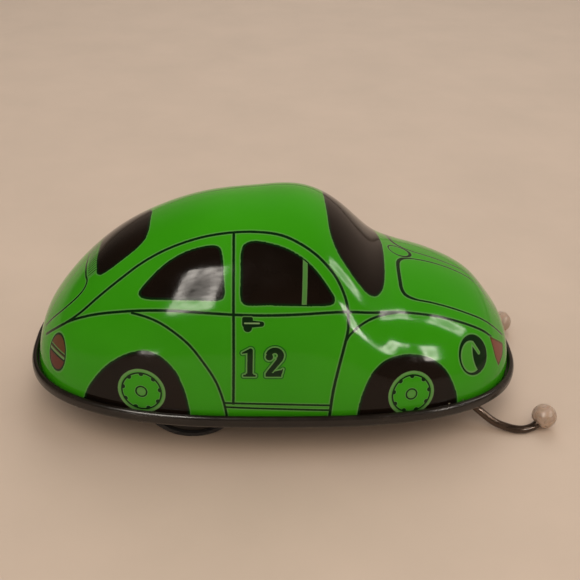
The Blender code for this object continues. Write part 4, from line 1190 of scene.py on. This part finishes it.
def lamp(name, azimuth, elevation, size, size_y, radiance, colour, patchy, roll=0.0):
    """A light as seen from the car: azimuth 0 is from -Y, and sizes are in degrees.

    Above 0, patchy is how uneven a highlight's face is. Below 0, the light is broad and isn't mirrored.
    """
    a, e = math.radians(azimuth), math.radians(elevation)
    way = Vector((math.sin(a) * math.cos(e), -math.cos(a) * math.cos(e), math.sin(e)))
    data = bpy.data.lights.new(name, "AREA")
    data.shape = "ELLIPSE" if patchy < 0 else "RECTANGLE"
    data.size = 2 * LAMP_AWAY * math.tan(math.radians(size / 2))
    data.size_y = 2 * LAMP_AWAY * math.tan(math.radians(size_y / 2))
    data.energy = radiance * math.pi * data.size * data.size_y * (math.pi / 4 if patchy < 0 else 1)
    data.color = colour
    obj = link_object(name, data)
    obj.location = Vector((0.0, 0.0, 0.02)) + way * LAMP_AWAY
    obj.rotation_euler = (way.to_track_quat("Z", "Y").to_matrix()
                          @ Matrix.Rotation(math.radians(roll), 3, "Z")).to_euler()
    obj.visible_camera = False
    data.use_nodes = True
    tree = data.node_tree
    where = new_node(tree, "NewGeometry")["Parametric"]
    out = new_node(tree, "VectorMath", {0: where, 1: (0.5, 0.5, 0.0)}, operation="DISTANCE")["Value"]
    if patchy < 0:                              # fades toward its rim, and is too wide to mirror
        obj.visible_glossy = False
        strength = new_node(tree, "MapRange", {"Value": out, "From Min": 0.5, "From Max": 0.12},
                            interpolation_type="SMOOTHSTEP")[0]
    else:                                       # seen through a blind, and brightest along its rim
        obj.visible_diffuse = False
        thread = new_node(tree, "Mapping", {"Vector": where, "Scale": (0.8, 3.2, 1.0)})[0]
        grain = new_node(tree, "TexNoise", {"Vector": thread, "Scale": 5.0, "Detail": 5.0,
                                            "Roughness": 0.7})["Fac"]
        uneven = new_node(tree, "MapRange", {"Value": grain, "From Min": 0.5 - 0.16 * patchy,
                                             "From Max": 0.5 + 0.10 * patchy, "To Max": 1.6})[0]
        rim = new_node(tree, "MapRange", {"Value": out, "From Min": 0.18, "From Max": 0.46, "To Min": 0.35},
                       interpolation_type="SMOOTHSTEP")[0]
        strength = new_node(tree, "Math", {0: uneven, 1: rim}, operation="MULTIPLY")[0]
    put(tree, tree.nodes["Emission"].inputs["Strength"], strength)


WARM = (1.0, 0.93, 0.84)
PLAIN = (1.0, 0.99, 0.98)
lamp("window_left", -29, 43, 17, 33, 20, WARM, roll=16, patchy=1.0)
lamp("lamp_right", 46, 23, 5.5, 14, 36, WARM, roll=-20, patchy=0.7)
lamp("lamp_edge", 77, 38, 9, 20, 18, WARM, roll=8, patchy=0.8)
lamp("lamp_small", -31, 1, 6, 2, 22, WARM, patchy=0.6)
for name, azimuth, elevation, size, radiance, colour in (
        ("soft_top", 0, 86, 66, 0.80, PLAIN),
        ("soft_back", 172, 48, 66, 2.1, PLAIN),
        ("soft_front", -8, 52, 66, 2.5, (1.15, 0.96, 0.80)),
        ("soft_left", -90, 42, 66, 1.0, PLAIN),
        ("soft_right", 90, 42, 66, 1.3, PLAIN),
        ("soft_low", 0, 17, 80, 0.35, (1.20, 0.94, 0.76))):
    lamp(name, azimuth, elevation, size, size, radiance, colour, patchy=-1)

ELEV, YAW, DIST, ROLL = 31.0, -4.46, 207.05, 2.59
aim = Vector((2.96 + MID_X, 0, 15.78 + RIM_Z)) * MM
e, a = math.radians(ELEV), math.radians(YAW)
back_way = Vector((math.sin(a) * math.cos(e), -math.cos(a) * math.cos(e), math.sin(e)))
right_way = Vector((math.cos(a), math.sin(a), 0))
up_way = back_way.cross(right_way)
r = math.radians(ROLL)
right_way, up_way = (right_way * math.cos(r) + up_way * math.sin(r),
                     up_way * math.cos(r) - right_way * math.sin(r))
camera = bpy.data.cameras.new("camera")
camera.sensor_width = 36.0
camera.lens = 900.0 / 580.0 * 36.0
camera.clip_start = 0.01
cam = link_object("camera", camera)
m = Matrix((right_way, up_way, back_way)).transposed().to_4x4()
m.translation = aim + back_way * DIST * MM
cam.matrix_world = m
bpy.context.scene.camera = cam
bpy.context.scene.view_settings.view_transform = "Standard"
